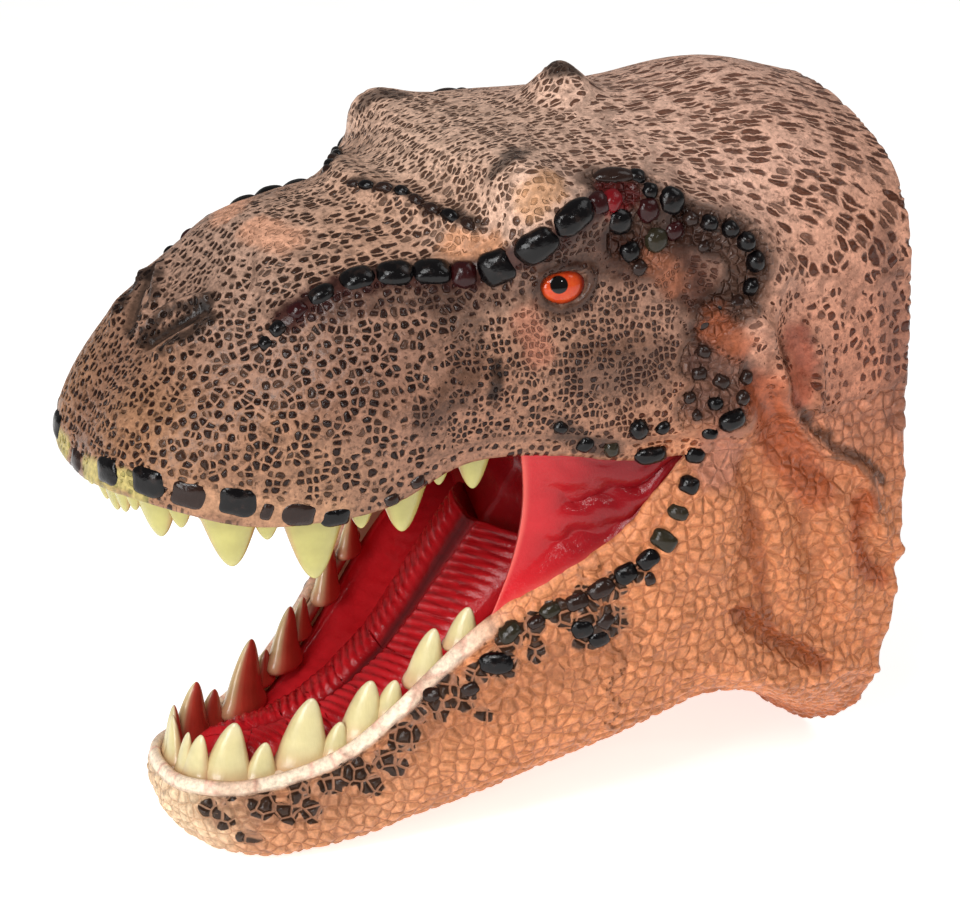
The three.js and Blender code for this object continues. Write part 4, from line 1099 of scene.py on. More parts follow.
def lipFrame(half, u):
    out = half.normal(u, np.zeros_like(u)) * [1, 1, 0]
    out = out / np.linalg.norm(out, axis=-1, keepdims=True)
    back = np.stack([-out[..., 1], out[..., 0], np.zeros(out.shape[:-1])], -1)
    return -out, back


def gumCorners(half, u):
    lip = np.zeros_like(u)
    spacing = np.linalg.norm(half.bare(u, lip) - half.bare(u, lip + 1), axis=-1)
    edge = half.inside(u, lip, gum["behindLip"])
    deep = half.inside(u, gum["height"] / spacing, gum["behindLip"])
    across = lipFrame(half, u)[0] * gum["width"]
    return edge, deep, edge + across, deep + across


class Lining:
    def __init__(self, half, line):
        self.half = half
        self.line = np.array(line, float) + [ahead, 0, 0]

    def bare(self, u, v):
        u, v = np.broadcast_arrays(np.asarray(u, float), np.asarray(v, float))
        flipped = (u < 0) ^ (v > 1)
        u, v = np.abs(u), np.where(v > 1, 2 - v, v)
        corners = gumCorners(self.half, u)
        inward = lipFrame(self.half, u)[0]
        start = corners[2] + (corners[3] - corners[2]) * (gum["shown"] / gum["height"])
        start = start + inward * (lining["wall"] + lining["gap"])
        i = np.clip(np.floor(u), 0, len(self.line) - 2).astype(int)
        middle = self.line[i] + (self.line[i + 1] - self.line[i]) * (u - i)[..., None]
        turn = v * math.pi / 2
        share = 1 - np.cos(turn)
        point = np.stack([
            start[..., 0] + (middle[..., 0] - start[..., 0]) * share,
            start[..., 1] * (1 - share),
            start[..., 2] + (middle[..., 2] - start[..., 2]) * np.sin(turn)], -1)
        return np.where(flipped[..., None], point * acrossMiddle, point)

    def point(self, u, v, lift=0):
        step = 0.02
        u, v = np.broadcast_arrays(np.asarray(u, float), np.asarray(v, float))
        normal = np.cross(self.bare(u + step, v) - self.bare(u - step, v),
                          self.bare(u, v + step) - self.bare(u, v - step))
        length = np.linalg.norm(normal, axis=-1, keepdims=True)
        normal = normal / np.maximum(length, 1e-9) * self.half.side  # none at the front's pole
        return self.bare(u, v) + normal * np.asarray(lift)[..., None]


palate, mouthFloor = Lining(upper, palateLine), Lining(lower, floorLine)


def gridValues(verts, along, across):
    flat = np.array([v.co[:2] for v in verts]) + 0.5
    return np.rint(flat[:, 0] * along) / along, np.rint(flat[:, 1] * across) / across


def shapedGrid(bm, along, across, pointAt, paints=None, wrapped=False):
    # a grid bent to a shape: pointAt gives the place in mm for shares from 0 to 1 both ways
    kinds = paints(np.zeros(1), np.zeros(1)) if paints else {}
    layers = {name: bm.verts.layers.float_vector.get(name)
              or bm.verts.layers.float_vector.new(name) for name in kinds}
    verts = bmesh.ops.create_grid(bm, x_segments=along, y_segments=across, size=0.5)["verts"]
    a, b = gridValues(verts, along, across)
    points = pointAt(a, b) * unit
    for vert, point in zip(verts, points):
        vert.co = point
    if paints:
        for name, values in paints(a, b).items():
            for vert, value in zip(verts, values):
                vert[layers[name]] = value
    faces = list({f for v in verts for f in v.link_faces})
    if wrapped:
        bmesh.ops.remove_doubles(bm, verts=verts, dist=2e-6)
        faces = [f for f in faces if f.is_valid]
        rim = {e for f in faces for e in f.edges if len(e.link_faces) == 1}
        faces += bmesh.ops.holes_fill(bm, edges=list(rim), sides=0)["faces"]
    bmesh.ops.recalc_face_normals(bm, faces=faces)


def mirrorAll(bm):
    bmesh.ops.mirror(bm, geom=bm.verts[:] + bm.edges[:] + bm.faces[:], merge_dist=2e-6, axis="Y")
    bmesh.ops.remove_doubles(bm, verts=bm.verts[:], dist=2e-6)
    bmesh.ops.recalc_face_normals(bm, faces=bm.faces[:])


def finishPiece(bm, name, *materials):
    for face in bm.faces:
        face.smooth = True
    mesh = bpy.data.meshes.new(name)
    bm.to_mesh(mesh)
    bm.free()
    return newPiece(name, mesh, *materials)


def mouthMaterial():
    # Vinyl painted red inside and lacquered: wet and even, with painted shade making it deep red
    # down in the throat, and sharp small highlights on every rib
    material, tree, shader = newMaterial("lacqueredRedVinyl")
    here = addNode(tree, "TexCoord").outputs["Object"]
    parts = addNode(tree, "SeparateXYZ", {0: here})
    cloud = addNode(tree, "TexNoise", {"Vector": here, "Scale": 1 / 0.01, "Detail": 4.0,
        "Roughness": 0.6})
    fine = addNode(tree, "TexNoise", {"Vector": here, "Scale": 1 / 0.0017, "Detail": 3.0,
        "Roughness": 0.65})
    # painted shade: the red darkens towards the back of the mouth and down the throat
    deep = addNode(tree, "MapRange", {"Value": parts, 1: 0.006, 2: -0.018, 3: 0.0, 4: 0.85},
        **smooth)
    bright = addNode(tree, "Mix", {0: cloud, 6: linearColor("#B3121A"),
        7: linearColor("#D32C33")}, data_type="RGBA").outputs[2]
    dark = addNode(tree, "Mix", {0: deep, 6: bright, 7: linearColor("#6E0A12")},
        data_type="RGBA").outputs[2]
    paint = addNode(tree, "Attribute", attribute_name="mouthPaint").outputs["Vector"]
    shares = addNode(tree, "SeparateXYZ", {0: paint})
    # painted shade: darker red in the tongue's middle groove, between its ribs and in the web's corner
    groove = addNode(tree, "Mix", {0: shares, 6: dark, 7: linearColor("#5A080C")},
        data_type="RGBA").outputs[2]
    worn = addNode(tree, "Mix", {0: shares.outputs[1], 6: groove, 7: linearColor("#E8796A")},
        data_type="RGBA").outputs[2]
    bump = addNode(tree, "Bump", {"Height": fine, "Strength": 0.45, "Distance": 0.0005})
    wet = addNode(tree, "MapRange", {"Value": fine, 1: 0.3, 2: 0.7, 3: 0.12, 4: 0.26})
    setSockets(tree, shader, {"Base Color": worn, "Roughness": wet, "Normal": bump,
        "Specular IOR Level": 0.24, "Coat Weight": 0.05, "Coat Roughness": 0.08})
    return material


redVinyl = mouthMaterial()


def ribs(distance, pitch):
    # rounded ribs with narrow grooves between them, from 0 to 1
    return np.abs(np.sin(math.pi * distance / pitch)) ** 0.7


def liningPiece(name, surface, endStation, ridge, flips):
    bm = bmesh.new()

    def pointAt(a, b):
        u = a * endStation
        point = surface.point(u, b)
        ribHeight = ridge["height"] * ribs(point[:, 0] + ridge["lean"] * np.abs(point[:, 1]),
                                           ridge["pitch"])
        fade = softStep(b, 0.12, 0.4) * softStep(a, 0.02, 0.1) * softStep(-a, -1, -0.93)
        return surface.point(u, b, -ribHeight * fade + waves(point, 13, 4) * 0.4 * fade)

    shapedGrid(bm, 150, 44, pointAt)
    mirrorAll(bm)
    if (bm.faces[0].normal.z > 0) == flips:
        bmesh.ops.reverse_faces(bm, faces=bm.faces[:])
    bmesh.ops.solidify(bm, geom=bm.faces[:], thickness=lining["wall"] * millimetre)
    return finishPiece(bm, name, redVinyl)


palateRidge = {"height": 0.9, "pitch": 4.2, "lean": 0.35}
floorRidge = {"height": 0.35, "pitch": 3.1, "lean": -0.5}
palateSkin = liningPiece("palate", palate, lining["palateEnd"], palateRidge, True)
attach(palateSkin, "head")
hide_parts("palate_lining")
floorSkin = liningPiece("floor_of_mouth", mouthFloor, lining["floorEnd"], floorRidge, False)
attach(floorSkin, "jaw")
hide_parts("mouth_floor")

# The tongue lies on the mouth floor, ribbed across, with a groove along its middle
tongueShape = {"start": 0.5, "end": 9.75, "thick": 8, "gap": 0.3, "groove": 2.2,
               "grooveWidth": 0.15, "rib": 0.75, "pitch": 2.3, "roomShare": 0.86,
               "tipWidth": 5, "widening": 1.9}


def tongueShares(b):
    # b runs round the tongue, from its left edge over the top to the right edge and back
    # below. w is 0 at either edge and 1 in the middle.
    across = np.where(b <= 0.75, b / 0.75, (1 - b) / 0.25) * 2 - 1
    return 1 - np.abs(across), across > 0


def tongueRibs(place, a, w):
    way = np.hypot(place[:, 0] - 70, place[:, 2] - 17) - 0.35 * np.abs(place[:, 1])
    fade = softStep(1 - w, 0.06, 0.2) * softStep(w, 0.1, 0.4) * softStep(a, 0.12, 0.3)
    return ribs(way, tongueShape["pitch"]), fade


def tonguePoint(a, b):
    shape = tongueShape
    w, onRight = tongueShares(b)
    u = shape["start"] + (shape["end"] - shape["start"]) * a
    room = mouthFloor.point(u, np.zeros_like(u))[:, 1]
    halfWidth = np.minimum(shape["roomShare"] * room, shape["tipWidth"] + shape["widening"] * u)
    halfWidth = halfWidth * np.sqrt(np.clip(a / 0.06, 0.02, 1))
    edge = np.arccos(np.minimum(halfWidth / np.maximum(room, 0.01),
                                shape["roomShare"])) * 2 / math.pi
    edge = np.maximum(edge, 1 - halfWidth / 9)
    v = edge + (1 - edge) * w
    v = np.where(onRight, 2 - v, v)
    height = shape["thick"] * np.minimum(1, 0.2 + 4 * a)
    crown = np.sqrt(1 - (1 - w) ** 2 * 0.98)
    groove = shape["groove"] * np.exp(-((1 - w) / shape["grooveWidth"]) ** 2)
    groove = groove * np.minimum(1, 3 * a)
    place = mouthFloor.point(u, v)
    rib, fade = tongueRibs(place, a, w)
    top = height * crown - groove + shape["rib"] * rib * fade + 0.3 * waves(place, 9, 2)
    top = np.maximum(top, 0.6) * softStep(w, 0, 0.06)
    return mouthFloor.point(u, v, -shape["gap"] - np.where(b <= 0.75, top, 0))


def tonguePaint(a, b):
    w = tongueShares(b)[0]
    rib, fade = tongueRibs(tonguePoint(a, b), a, w)
    # painted shade: darker in the middle groove and between the ribs
    groove = np.exp(-((1 - w) / 0.1) ** 2) * softStep(a, 0.1, 0.3)
    groove = np.maximum(groove, 0.75 * (1 - rib) * fade)
    pale = 0.5 * np.exp(-((w - 0.12) / 0.12) ** 2) * softStep(-a, -0.45, -0.15)
    return {"mouthPaint": np.stack([groove, pale, np.zeros_like(a)], -1)}


def makeTongue():
    bm = bmesh.new()
    shapedGrid(bm, 300, 72, tonguePoint, tonguePaint, wrapped=True)
    return finishPiece(bm, "ribbed_tongue", redVinyl)


tongue = makeTongue()
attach(tongue, "jaw")
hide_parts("tongue")

# The throat wall joins palate and floor at the back, the cheek webs close the mouth corners
webShape = {"topFrom": 8.58, "topTo": 10.93, "topColumn": 0.16, "lowFrom": 7.26, "lowTo": 10.9,
            "lowColumn": 0.2, "behind": skinWall + 0.15, "hollow": 7, "bulge": 4,
            "wall": 1.6, "fold": 1.5}
webStart, webEnd = (-0.0319, 0, 0.1083), (-0.0414, 0, 0.082)
throatShape = {"topAt": 9.95, "lowAt": 9.55, "hollow": 7, "rib": 0.8, "height": 40, "pitch": 6,
               "wall": 1.4}


def throatPoint(a, b):
    shape = throatShape
    high = palate.point(np.full(a.shape, shape["topAt"]), b)
    low = mouthFloor.point(np.full(a.shape, shape["lowAt"]), b)
    point = high + (low - high) * a[:, None]
    belly = np.sin(a * math.pi)
    rib = ribs(a * shape["height"], shape["pitch"])
    point[:, 0] -= shape["hollow"] * belly + shape["rib"] * rib * belly
    return point


def webPoint(a, b):
    # a runs from the free front edge back to the corner, b from the upper lip down
    shape = webShape
    top = upper.inside(shape["topFrom"] + (shape["topTo"] - shape["topFrom"]) * a,
                       np.full(a.shape, shape["topColumn"]), shape["behind"])
    low = lower.inside(shape["lowFrom"] + (shape["lowTo"] - shape["lowFrom"]) * a,
                       np.full(a.shape, shape["lowColumn"]), shape["behind"])
    point = top + (low - top) * b[:, None]
    belly = np.sin(b * math.pi)
    point[:, 0] -= shape["hollow"] * belly * (1 - a) ** 1.5
    arc = b * 2.9 + 0.5 * (1 - a) ** 2 + 0.3 * waves(point, 17, 6)
    fold = shape["fold"] * np.sin(2 * math.pi * arc) * belly * softStep(a, 0.04, 0.36)
    point[:, 1] -= (shape["bulge"] * belly + fold) * (1 - 0.4 * a)
    return point


def webPaint(a, b):
    frontEdge = 0.45 * np.exp(-(a / 0.02) ** 2) + 0.3 * np.exp(-((b - 0.9) / 0.05) ** 2)
    shade = 0.5 * np.exp(-((a - 0.97) / 0.04) ** 2)
    return {"mouthPaint": np.stack([shade, frontEdge, np.zeros_like(a)], -1)}


def sheetPiece(name, along, across, pointAt, wall, paints=None, mirrored=False, bothHalves=False):
    bm = bmesh.new()
    shapedGrid(bm, along, across, pointAt, paints)
    if bothHalves:
        mirrorAll(bm)
    if mirrored:
        bmesh.ops.scale(bm, vec=(1, -1, 1), verts=bm.verts[:])
        bmesh.ops.recalc_face_normals(bm, faces=bm.faces[:])
    bmesh.ops.solidify(bm, geom=bm.faces[:], thickness=wall * millimetre)
    return finishPiece(bm, name, redVinyl)


throat = sheetPiece("back_of_throat", 40, 40, throatPoint, throatShape["wall"], bothHalves=True)
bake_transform(throat, "head", "jaw", start=webStart, end=webEnd)
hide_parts("throat_wall")
for name, node, mirrored in (("web_left", "cheek_web_left", False),
                             ("web_right", "cheek_web_right", True)):
    web = sheetPiece(name, 90, 70, webPoint, webShape["wall"], webPaint, mirrored)
    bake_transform(web, "head", "jaw", start=webStart, end=webEnd)
    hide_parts(node)
print("mouth made")


def toothMaterial():
    # Vinyl teeth, cast in one strip and sprayed: cream and yellow, orange red towards the
    # gum and inside, with a shine like wet enamel
    material, tree, shader = newMaterial("sprayedVinylEnamel")
    here = addNode(tree, "TexCoord").outputs["Object"]
    color = addNode(tree, "Attribute", attribute_name="toothPaint").outputs["Color"]
    cloud = addNode(tree, "TexNoise", {"Vector": here, "Scale": 1 / 0.004, "Detail": 3.0})
    streak = addNode(tree, "Mapping", {"Vector": here, "Scale": (1400, 1400, 240)})
    lines = addNode(tree, "TexNoise", {"Vector": streak, "Scale": 1.0, "Detail": 2.0})
    tone = addNode(tree, "MapRange", {"Value": cloud, 1: 0.3, 2: 0.7, 3: 0.9, 4: 1.06})
    shown = addNode(tree, "HueSaturation", {"Color": color, "Value": tone})
    bump = addNode(tree, "Bump", {"Height": lines, "Strength": 0.25, "Distance": 0.0003})
    setSockets(tree, shader, {"Base Color": shown, "Normal": bump, "Roughness": 0.27,
        "Coat Weight": 0.3, "Coat Roughness": 0.15})
    return material


enamel = toothMaterial()
# A tooth's form: how deep it starts in the gum, its taper, its blunt tip and its swollen foot
toothForm = {"ratio": 0.82, "sunk": 0.12, "taper": 0.72, "power": 1.15, "blunt": 9, "foot": 0.16}
toothRows = {
    "upper_tooth_row": {"half": upper, "teeth": upperTeeth, "end": 8.54, "body": "head",
                        "node": "upper_teeth", "widen": 1.4, "bulge": 2.6, "slant": 0.02,
                        "tooth": "#B1A95F", "tip": "#BDB571", "root": "#9F924C", "gum": "#A3964F",
                        "inner": "#B3301F"},
    "lower_tooth_row": {"half": lower, "teeth": lowerTeeth, "end": 7.22, "body": "jaw",
                        "node": "lower_teeth", "widen": 1.4, "bulge": 0.7, "slant": 0.14,
                        "tooth": "#D0C48E", "tip": "#DBD1A8", "root": "#CE9E78", "gum": "#DCC6A8",
                        "inner": "#B02A22"},
}


def paintColors(row, share, inner, isGum):
    tooth, tip, root, gumPaint, red = (np.array(linearColor(row[k])[:3])
                                       for k in ("tooth", "tip", "root", "gum", "inner"))
    color = root + (tooth - root) * softStep(share, -0.05, 0.3)[:, None]
    color = color + (tip - color) * softStep(share, 0.45, 1)[:, None]
    color = np.where(isGum[:, None], gumPaint, color)
    return color + (red - color) * inner[:, None]


def oneTooth(bm, row, u, width, length):
    half = row["half"]
    station = np.array([u])
    edge = gumCorners(half, station)[0][0]
    inward, back = (axis[0] for axis in lipFrame(half, station))
    thickness = min(width * toothForm["ratio"], 2 * gum["width"])
    width = width * row["widen"]
    root = edge + inward * thickness / 2
    point = np.array([0, 0, -half.side]) + inward * 0.06
    point = point / np.linalg.norm(point)

    def pointAt(a, b):
        form = toothForm
        along = -form["sunk"] + (1 + form["sunk"]) * np.sin(a * math.pi / 2)
        grown = np.clip(along, 0, 1)
        size = (1 - form["taper"] * grown ** form["power"]) * np.sqrt(1 - grown ** form["blunt"])
        size = size + form["foot"] * np.exp(-((along + 0.02) / 0.12) ** 2)
        size = np.where(a >= 0.999, 0, size)
        angle = 2 * math.pi * b
        middle = root + np.outer(along * length, point)
        middle = middle + np.outer(row["slant"] * length * np.clip(along, 0, 1) ** 2, back)
        return (middle + np.outer(np.cos(angle) * size * width / 2, back)
                + np.outer(np.sin(angle) * size * thickness / 2, inward))

    def paints(a, b):
        inner = 0.95 * softStep(np.sin(2 * math.pi * b), 0.05, 0.75)
        rim = 0.3 * softStep(np.abs(np.cos(2 * math.pi * b)), 0.75, 1) * softStep(-a, -0.9, -0.4)
        color = paintColors(row, a, np.maximum(inner, rim), np.zeros(a.shape, bool))
        return {"toothPaint": color}

    shapedGrid(bm, 20, 20, pointAt, paints, wrapped=True)


def gumRail(bm, row):
    half = row["half"]
    stations = np.array([tooth[0] for tooth in row["teeth"]])
    widths = np.array([tooth[1] for tooth in row["teeth"]])

    def pointAt(a, b):
        u = a * row["end"]
        edge, deep, innerEdge, innerDeep = gumCorners(half, u)
        away = (u[:, None] - stations) * gum["stationLength"] / (widths * 0.62)
        collar = gum["collar"] * np.exp(-away ** 4).max(-1)
        rise = collar + row["bulge"]
        angle = 2 * math.pi * b
        middle = (edge + innerEdge + deep + innerDeep) / 4
        across = (innerEdge - edge + innerDeep - deep) / 4
        down = (edge - deep + innerEdge - innerDeep) / 4
        s, c = np.sin(angle), np.cos(angle)
        square = 1 / np.maximum(np.abs(s), np.abs(c)) ** 0.55
        point = middle + across * (c * square)[:, None] + down * (s * square)[:, None]
        point[:, 2] += -half.side * rise * np.clip(s, 0, 1) ** 2 * 0.8
        return point

    def paints(a, b):
        angle = 2 * math.pi * b
        inner = softStep(np.cos(angle), 0.1, 0.8)
        return {"toothPaint": paintColors(row, a, inner, np.ones(a.shape, bool))}

    shapedGrid(bm, 170, 14, pointAt, paints)


def toothRow(name, row):
    bm = bmesh.new()
    gumRail(bm, row)
    bmesh.ops.remove_doubles(bm, verts=bm.verts[:], dist=2e-6)
    for u, width, length in row["teeth"]:
        oneTooth(bm, row, u, width, length)
    mirrorAll(bm)
    border = [e for e in bm.edges if len(e.link_faces) == 1]
    bmesh.ops.holes_fill(bm, edges=border, sides=0)
    bmesh.ops.recalc_face_normals(bm, faces=bm.faces[:])
    piece = finishPiece(bm, name, enamel)
    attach(piece, row["body"])
    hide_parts(row["node"])


for name, row in toothRows.items():
    toothRow(name, row)
print("teeth made")


def eyeMaterial():
    # Hand-painted vinyl eye under a clear drop of lacquer: orange iris, paler at the back,
    # darker at its rim, round black pupil, mirror-like shine
    material, tree, shader = newMaterial("lacqueredPaintedEye")
    place = addNode(tree, "Attribute", attribute_name="eyePlace").outputs["Vector"]
    parts = addNode(tree, "SeparateXYZ", {0: place})
    flat = addNode(tree, "CombineXYZ", {0: parts, 1: parts.outputs[1]})
    away = addNode(tree, "VectorMath", {0: flat}, operation="LENGTH").outputs["Value"]
    streaks = addNode(tree, "TexNoise", {"Vector": place, "Scale": 0.7, "Detail": 3.0})
    orange = addNode(tree, "Mix", {0: streaks, 6: linearColor("#B8230F"),
        7: linearColor("#CE5722")}, data_type="RGBA").outputs[2]
    rim = addNode(tree, "MapRange", {"Value": away, 1: 4.3, 2: 6.4, 3: 0.0, 4: 1.0}, **smooth)
    iris = addNode(tree, "Mix", {0: rim, 6: orange, 7: linearColor("#7E1D10")},
        data_type="RGBA").outputs[2]
    hole = addNode(tree, "MapRange", {"Value": away, 1: eye["pupil"] - 0.12,
        2: eye["pupil"] + 0.12, 3: 1.0, 4: 0.0})
    color = addNode(tree, "Mix", {0: hole, 6: iris, 7: linearColor("#050303")},
        data_type="RGBA").outputs[2]
    setSockets(tree, shader, {"Base Color": color, "Roughness": 0.07, "Specular IOR Level": 0.3,
        "Coat Weight": 0.15, "Coat Roughness": 0.03})
    return material


paintedEye = eyeMaterial()


def makeEye(name, node, side):
    middle, along, above, out = eyeAxes()
    bm = bmesh.new()
    bmesh.ops.create_uvsphere(bm, u_segments=48, v_segments=32, radius=1)
    layer = bm.verts.layers.float_vector.new("eyePlace")
    for vert in bm.verts:
        x, y, z = vert.co
        x, y, z = x * eye["length"] / 2, y * eye["height"] / 2, z * eye["depth"] / 2
        vert[layer] = (x - eye["gaze"][0], y - eye["gaze"][1], z)
        place = (middle + along * x + above * y + out * z) * [1, side, 1]
        vert.co = place * unit
    bmesh.ops.recalc_face_normals(bm, faces=bm.faces[:])
    piece = finishPiece(bm, name, paintedEye)
    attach(piece, "head")
    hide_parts(node)


makeEye("eyeball_left", "left_eye", 1)
makeEye("eyeball_right", "right_eye", -1)
print("eyes made")


def beadMaterial():
    # The same rubber, its big scales picked out with black gloss enamel by hand: near mirror
    # on top, dusty at the foot, here and there with red or olive paint showing through
    material, tree, shader = newMaterial("blackGlossEnamel")
    here = addNode(tree, "TexCoord").outputs["Object"]
    color = addNode(tree, "Attribute", attribute_name="beadPaint").outputs["Color"]
    cloud = addNode(tree, "TexNoise", {"Vector": here, "Scale": 1 / 0.0022, "Detail": 4.0,
        "Roughness": 0.6})
    patch = addNode(tree, "MapRange", {"Value": cloud, 1: 0.52, 2: 0.72, 3: 0.0, 4: 0.3},
        **smooth)
    worn = addNode(tree, "Mix", {0: patch, 6: color, 7: linearColor("#3A2A24")},
        data_type="RGBA").outputs[2]
    dull = addNode(tree, "MapRange", {"Value": cloud, 1: 0.4, 2: 0.7, 3: 0.1, 4: 0.24})
    bump = addNode(tree, "Bump", {"Height": cloud, "Strength": 0.35, "Distance": 0.0006})
    setSockets(tree, shader, {"Base Color": worn, "Roughness": dull, "Normal": bump,
        "Specular IOR Level": 0.24, "Coat Weight": 0.06, "Coat Roughness": 0.05})
    return material


blackEnamel = beadMaterial()
beadPaints = {"black": "#080607", "brown": "#261712", "red": "#6C0A12", "olive": "#282318",
              "wine": "#2A0A0B"}

# Beads and big scales. Each is a pixel, its length, width and height in mm and its paint;
# its long way runs towards the next bead of the row
browBeads = [
    [(264, 343), 3.5, 3.4, 0.8, "black"], [(277, 328), 4.2, 3.8, 1, "black"],
    [(297, 309), 5, 4.3, 1.2, "wine"], [(321, 293), 6.7, 4.9, 1.5, "black"],
    [(357, 277), 8.5, 6.7, 1.9, "black"], [(395, 272), 9.2, 6.9, 2.1, "black"],
    [(432, 270), 9.4, 6.9, 2.1, "black"], [(464, 274), 6.2, 6.7, 1.8, "wine"],
    [(497, 268), 8.9, 8.5, 2.2, "black"], [(537, 247), 10.4, 7.8, 2.3, "black"],
    [(575, 217), 11.4, 7.2, 2.2, "black"], [(600, 203), 5.2, 5.6, 1.3, "wine"],
]
crestKnobs = [
    [(353, 184), 4, 2.6, 1, "brown"], [(366, 185), 4.6, 3, 1.2, "black"],
    [(384, 187), 5, 3, 1.2, "brown"], [(402, 191), 4.4, 3.2, 1.4, "black"],
    [(416, 199), 4.4, 3, 1.1, "brown"], [(432, 208), 4.6, 3, 1.2, "brown"],
    [(450, 215), 5.4, 3.4, 1.5, "black"], [(468, 224), 4.4, 2.8, 1, "brown"],
]
browCluster = [
    [(614, 174), 10.4, 5.2, 1.4, "brown"], [(637, 175), 4.6, 4.7, 1.4, "black"],
    [(613, 199), 5.8, 4.8, 1.4, "red"], [(621, 222), 6.9, 6.3, 1.6, "black"],
    [(649, 211), 5.6, 6, 1.6, "wine"], [(673, 201), 6.7, 6.7, 1.8, "black"],
    [(651, 190), 4.2, 4, 1.1, "black"], [(657, 240), 6.2, 5.8, 1.5, "olive"],
    [(631, 252), 5.2, 4.9, 1.4, "black"], [(675, 231), 4.6, 5.2, 1.1, "wine"],
    [(640, 268), 4.2, 3.8, 1, "brown"],
]
rearArc = [
    [(691, 219), 4.2, 3.8, 1.5, "brown"], [(710, 223), 4.6, 4.2, 1.8, "black"],
    [(731, 229), 4.8, 4.4, 1.9, "black"], [(747, 242), 5.2, 4.8, 2, "black"],
    [(756, 262), 5.4, 4.8, 2, "black"], [(751, 287), 4.8, 4, 1.7, "black"],
    [(737, 303), 4.6, 3.8, 1.4, "brown"], [(718, 312), 4.4, 3.8, 1.3, "black"],
    [(704, 247), 3.4, 3, 0.9, "brown"], [(703, 322), 4.2, 3.6, 1.2, "brown"],
]
lipScutes = [
    [(76, 460), 6.4, 5.4, 0.8, "brown"], [(106, 471), 8.2, 6.6, 0.9, "black"],
    [(147, 483), 8.6, 7.2, 0.9, "black"], [(188, 496), 8.4, 6.8, 0.8, "brown"],
    [(238, 503), 9, 7.4, 0.9, "black"], [(267, 512), 3.2, 5, 0.7, "brown"],
    [(299, 515), 8.4, 6.4, 0.9, "brown"], [(336, 519), 7, 5, 0.8, "black"],
    [(392, 500), 4, 3.4, 1.1, "brown"], [(418, 482), 4, 3.4, 1.1, "brown"],
]
cornerBeads = [
    [(561, 428), 4, 3.2, 1.3, "black"], [(585, 445), 4.2, 4.6, 1.6, "black"],
    [(612, 450), 4, 4.6, 1.6, "olive"], [(639, 430), 5, 5.4, 2, "black"],
    [(663, 428), 3.4, 4, 1.5, "black"], [(651, 455), 8.6, 5, 2, "black"],
    [(733, 421), 7, 5, 2, "black"], [(710, 434), 4.4, 3.2, 1.3, "black"],
    [(697, 416), 3, 2.6, 0.9, "brown"], [(690, 398), 3.4, 3, 1, "brown"],
    [(716, 404), 4, 3.4, 1.2, "black"], [(744, 398), 4, 3.6, 1.1, "brown"],
    [(722, 382), 4.4, 3.6, 1.1, "brown"], [(700, 374), 4, 3.4, 1, "brown"],
    [(748, 378), 3.6, 3.2, 0.9, "brown"], [(704, 352), 3.8, 3.2, 1, "brown"],
]
jawBeads = [
    [(696, 456), 4.4, 5, 1.1, "black"], [(689, 485), 4.6, 5, 1, "black"],
    [(678, 513), 3.8, 5.2, 0.8, "olive"], [(664, 541), 5, 6.6, 1, "olive"],
    [(648, 560), 6, 4.6, 1, "black"], [(626, 574), 6, 5, 1, "black"],
    [(601, 589), 7, 4.6, 0.8, "brown"], [(577, 602), 6, 4.2, 0.8, "brown"],
    [(550, 610), 5.6, 3.8, 0.7, "olive"], [(536, 622), 4.6, 3.2, 0.7, "brown"],
    [(509, 632), 6.4, 4.6, 0.8, "olive"], [(496, 664), 8.4, 5.6, 0.8, "black"],
    [(583, 630), 5.6, 5, 0.7, "black"], [(600, 640), 5.4, 4.4, 0.7, "black"],
    [(606, 622), 4.6, 4, 0.7, "brown"], [(650, 580), 3, 3.6, 0.5, "brown"],
    [(470, 690), 4.6, 3.6, 0.5, "brown"], [(430, 694), 4.8, 4, 0.5, "brown"],
]


def skinAt(pixel):
    place = atPixels([pixel])[0]
    hit = probe.find_nearest(Vector(place))
    normal = np.array(hit[1])
    if normal @ (place - [place[0] * 0.6, 0, 85]) < 0:
        normal = -normal
    return place, normal


def addBead(bm, place, normal, towards, bead, power):
    length, width, height, paint = bead[1:]
    along = towards - normal * (towards @ normal)
    along = along / np.linalg.norm(along)
    across = np.cross(normal, along)
    verts = bmesh.ops.create_icosphere(bm, subdivisions=4, radius=1)["verts"]
    layer = bm.verts.layers.float_color["beadPaint"]
    color = linearColor(beadPaints[paint])
    for vert in verts:
        x, y, z = vert.co
        reach = math.hypot(x, y)
        if reach > 0:  # from round towards square, with a flatter top
            square = reach / (abs(x) ** power + abs(y) ** power) ** (1 / power)
            x, y = x * square * 0.96, y * square * 0.96
        push = 1 + 0.05 * math.sin(5 * x + place[0]) * math.cos(4 * y + place[2])
        x, y = x * length / 2 * push, y * width / 2 * push
        z = (abs(z) ** 0.9 * (height + 0.8) if z > 0 else z * 1.4) - 0.8
        vert.co = (place + along * x + across * y + normal * z) * unit
        vert[layer] = color


def beadPiece(name, rows, body):
    bm = bmesh.new()
    bm.verts.layers.float_color.new("beadPaint")
    for row, power in rows:
        seats = [skinAt(bead[0]) for bead in row]
        for k, (bead, (place, normal)) in enumerate(zip(row, seats)):
            after, before = seats[min(k + 1, len(seats) - 1)][0], seats[max(k - 1, 0)][0]
            addBead(bm, place, normal, after - before, bead, power)
    bmesh.ops.mirror(bm, geom=bm.verts[:] + bm.edges[:] + bm.faces[:], merge_dist=0, axis="Y")
    bmesh.ops.recalc_face_normals(bm, faces=bm.faces[:])
    piece = finishPiece(bm, name, blackEnamel)
    if body == "fold":
        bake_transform(piece, "head", "jaw", start=foldStart, end=foldEnd)
    else:
        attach(piece, body)
    return piece


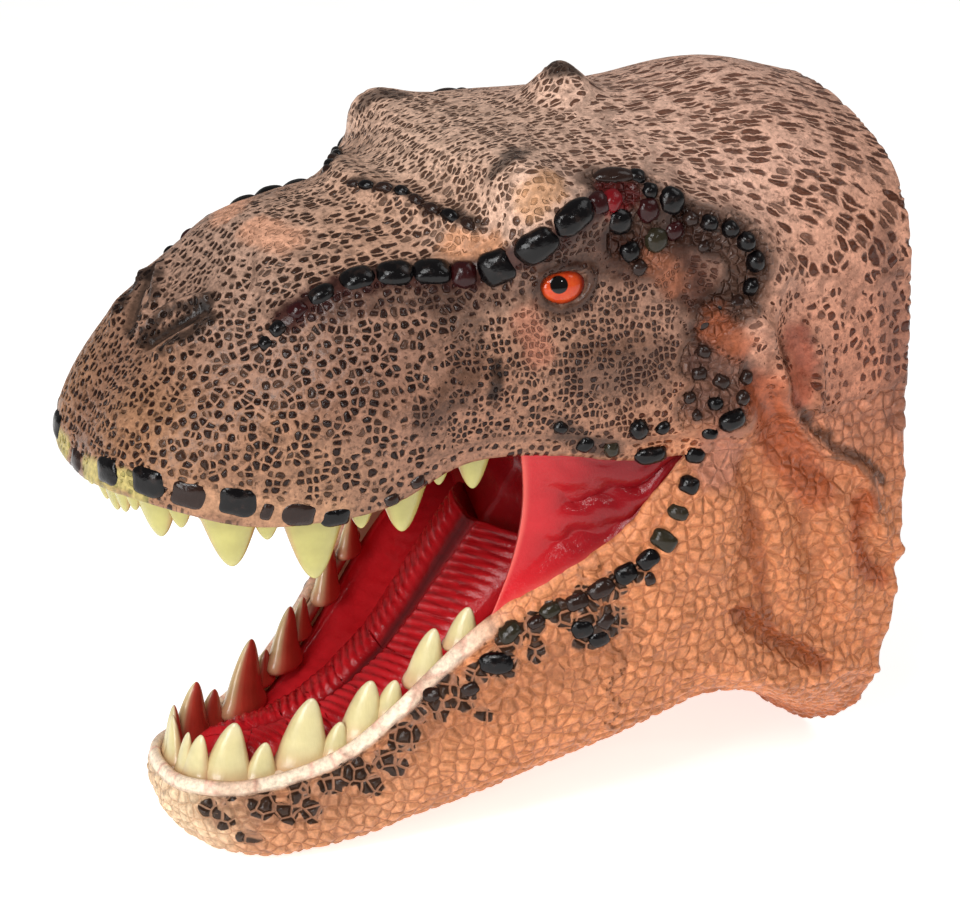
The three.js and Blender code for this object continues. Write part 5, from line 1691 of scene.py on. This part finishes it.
# the second value tells how square the scales of a row are: 2 is round
upperBeads = beadPiece("brow_and_lip_scales", [
    (browBeads, 2.6), (crestKnobs, 2.2), (browCluster, 2.3), (rearArc, 2.2), (lipScutes, 3.6),
    (cornerBeads, 2.6)
], "head")
lowerBeads = beadPiece("jaw_scales", [(jawBeads, 2.8)], "fold")
print("beads made")

# Floor, light and camera
studio = {"sky": 0.2, "floor": 0.75}
# Square lamps: place, side and power. The two small ones give the bright points on wet paint.
studioLamps = {
    "keyLight": [(0.62, 0.55, 0.95), 0.45, 5.6],
    "mouthLight": [(0.9, 0.45, 0.36), 0.4, 4.6],
    "glintLeft": [(0.55, 0.66, 0.8), 0.07, 1.0],
    "glintRight": [(-0.12, 0.95, 0.75), 0.05, 0.6],
    "rimLight": [(-0.55, 0.25, 0.85), 0.5, 1.6],
}
lampAim, mouthAim = (0, 0, 0.09), (0, 0, 0.07)


def studioStage():
    bm = bmesh.new()
    bmesh.ops.create_grid(bm, x_segments=1, y_segments=1, size=3)
    mesh = bpy.data.meshes.new("floor")
    bm.to_mesh(mesh)
    bm.free()
    # Matt white card: near white, so soft that it takes only a faint shadow
    material, tree, shader = newMaterial("mattWhiteCard")
    here = addNode(tree, "TexCoord").outputs["Object"]
    fibre = addNode(tree, "TexNoise", {"Vector": here, "Scale": 40.0})
    color = addNode(tree, "Mix", {0: fibre, 6: linearColor("#F6F5F3"), 7: linearColor("#FBFAF9")},
        data_type="RGBA").outputs[2]
    # light from below, as on a lit table
    setSockets(tree, shader, {"Base Color": color, "Roughness": 0.85, "Specular IOR Level": 0.1,
        "Emission Color": color, "Emission Strength": studio["floor"]})
    floor = newPiece("floor", mesh, material)


def studioLight():
    for name, (place, side, power) in studioLamps.items():
        light = bpy.data.lights.new(name, "AREA")
        light.shape, light.size, light.size_y = "RECTANGLE", side, side
        light.energy = power
        lamp = bpy.data.objects.new(name, light)
        bpy.context.scene.collection.objects.link(lamp)
        lamp.location = place
        aim = mouthAim if name == "mouthLight" else lampAim
        lamp.rotation_euler = (Vector(aim) - Vector(place)).to_track_quat("-Z", "Y").to_euler()
    world = bpy.data.worlds.new("studio")
    world.use_nodes = True
    sky = world.node_tree.nodes["Background"]
    sky.inputs["Color"].default_value = (1, 1, 1, 1)
    sky.inputs["Strength"].default_value = studio["sky"]
    bpy.context.scene.world = world
    bpy.context.scene.view_settings.view_transform = "Standard"


def photoView():
    back, right, up = cameraAxes()
    camera = bpy.data.cameras.new("photoCamera")
    camera.sensor_width = 36
    camera.lens = photoCamera["focal"] * camera.sensor_width / photoCamera["picture"][0]
    stand = bpy.data.objects.new("photoCamera", camera)
    bpy.context.scene.collection.objects.link(stand)
    turn = Matrix((right, up, back)).transposed().to_4x4()
    place = photoCamera["target"] + back * photoCamera["distance"]
    turn.translation = Vector(place * unit)
    stand.matrix_world = turn
    bpy.context.scene.camera = stand


studioStage()
studioLight()
photoView()
print("stage set")
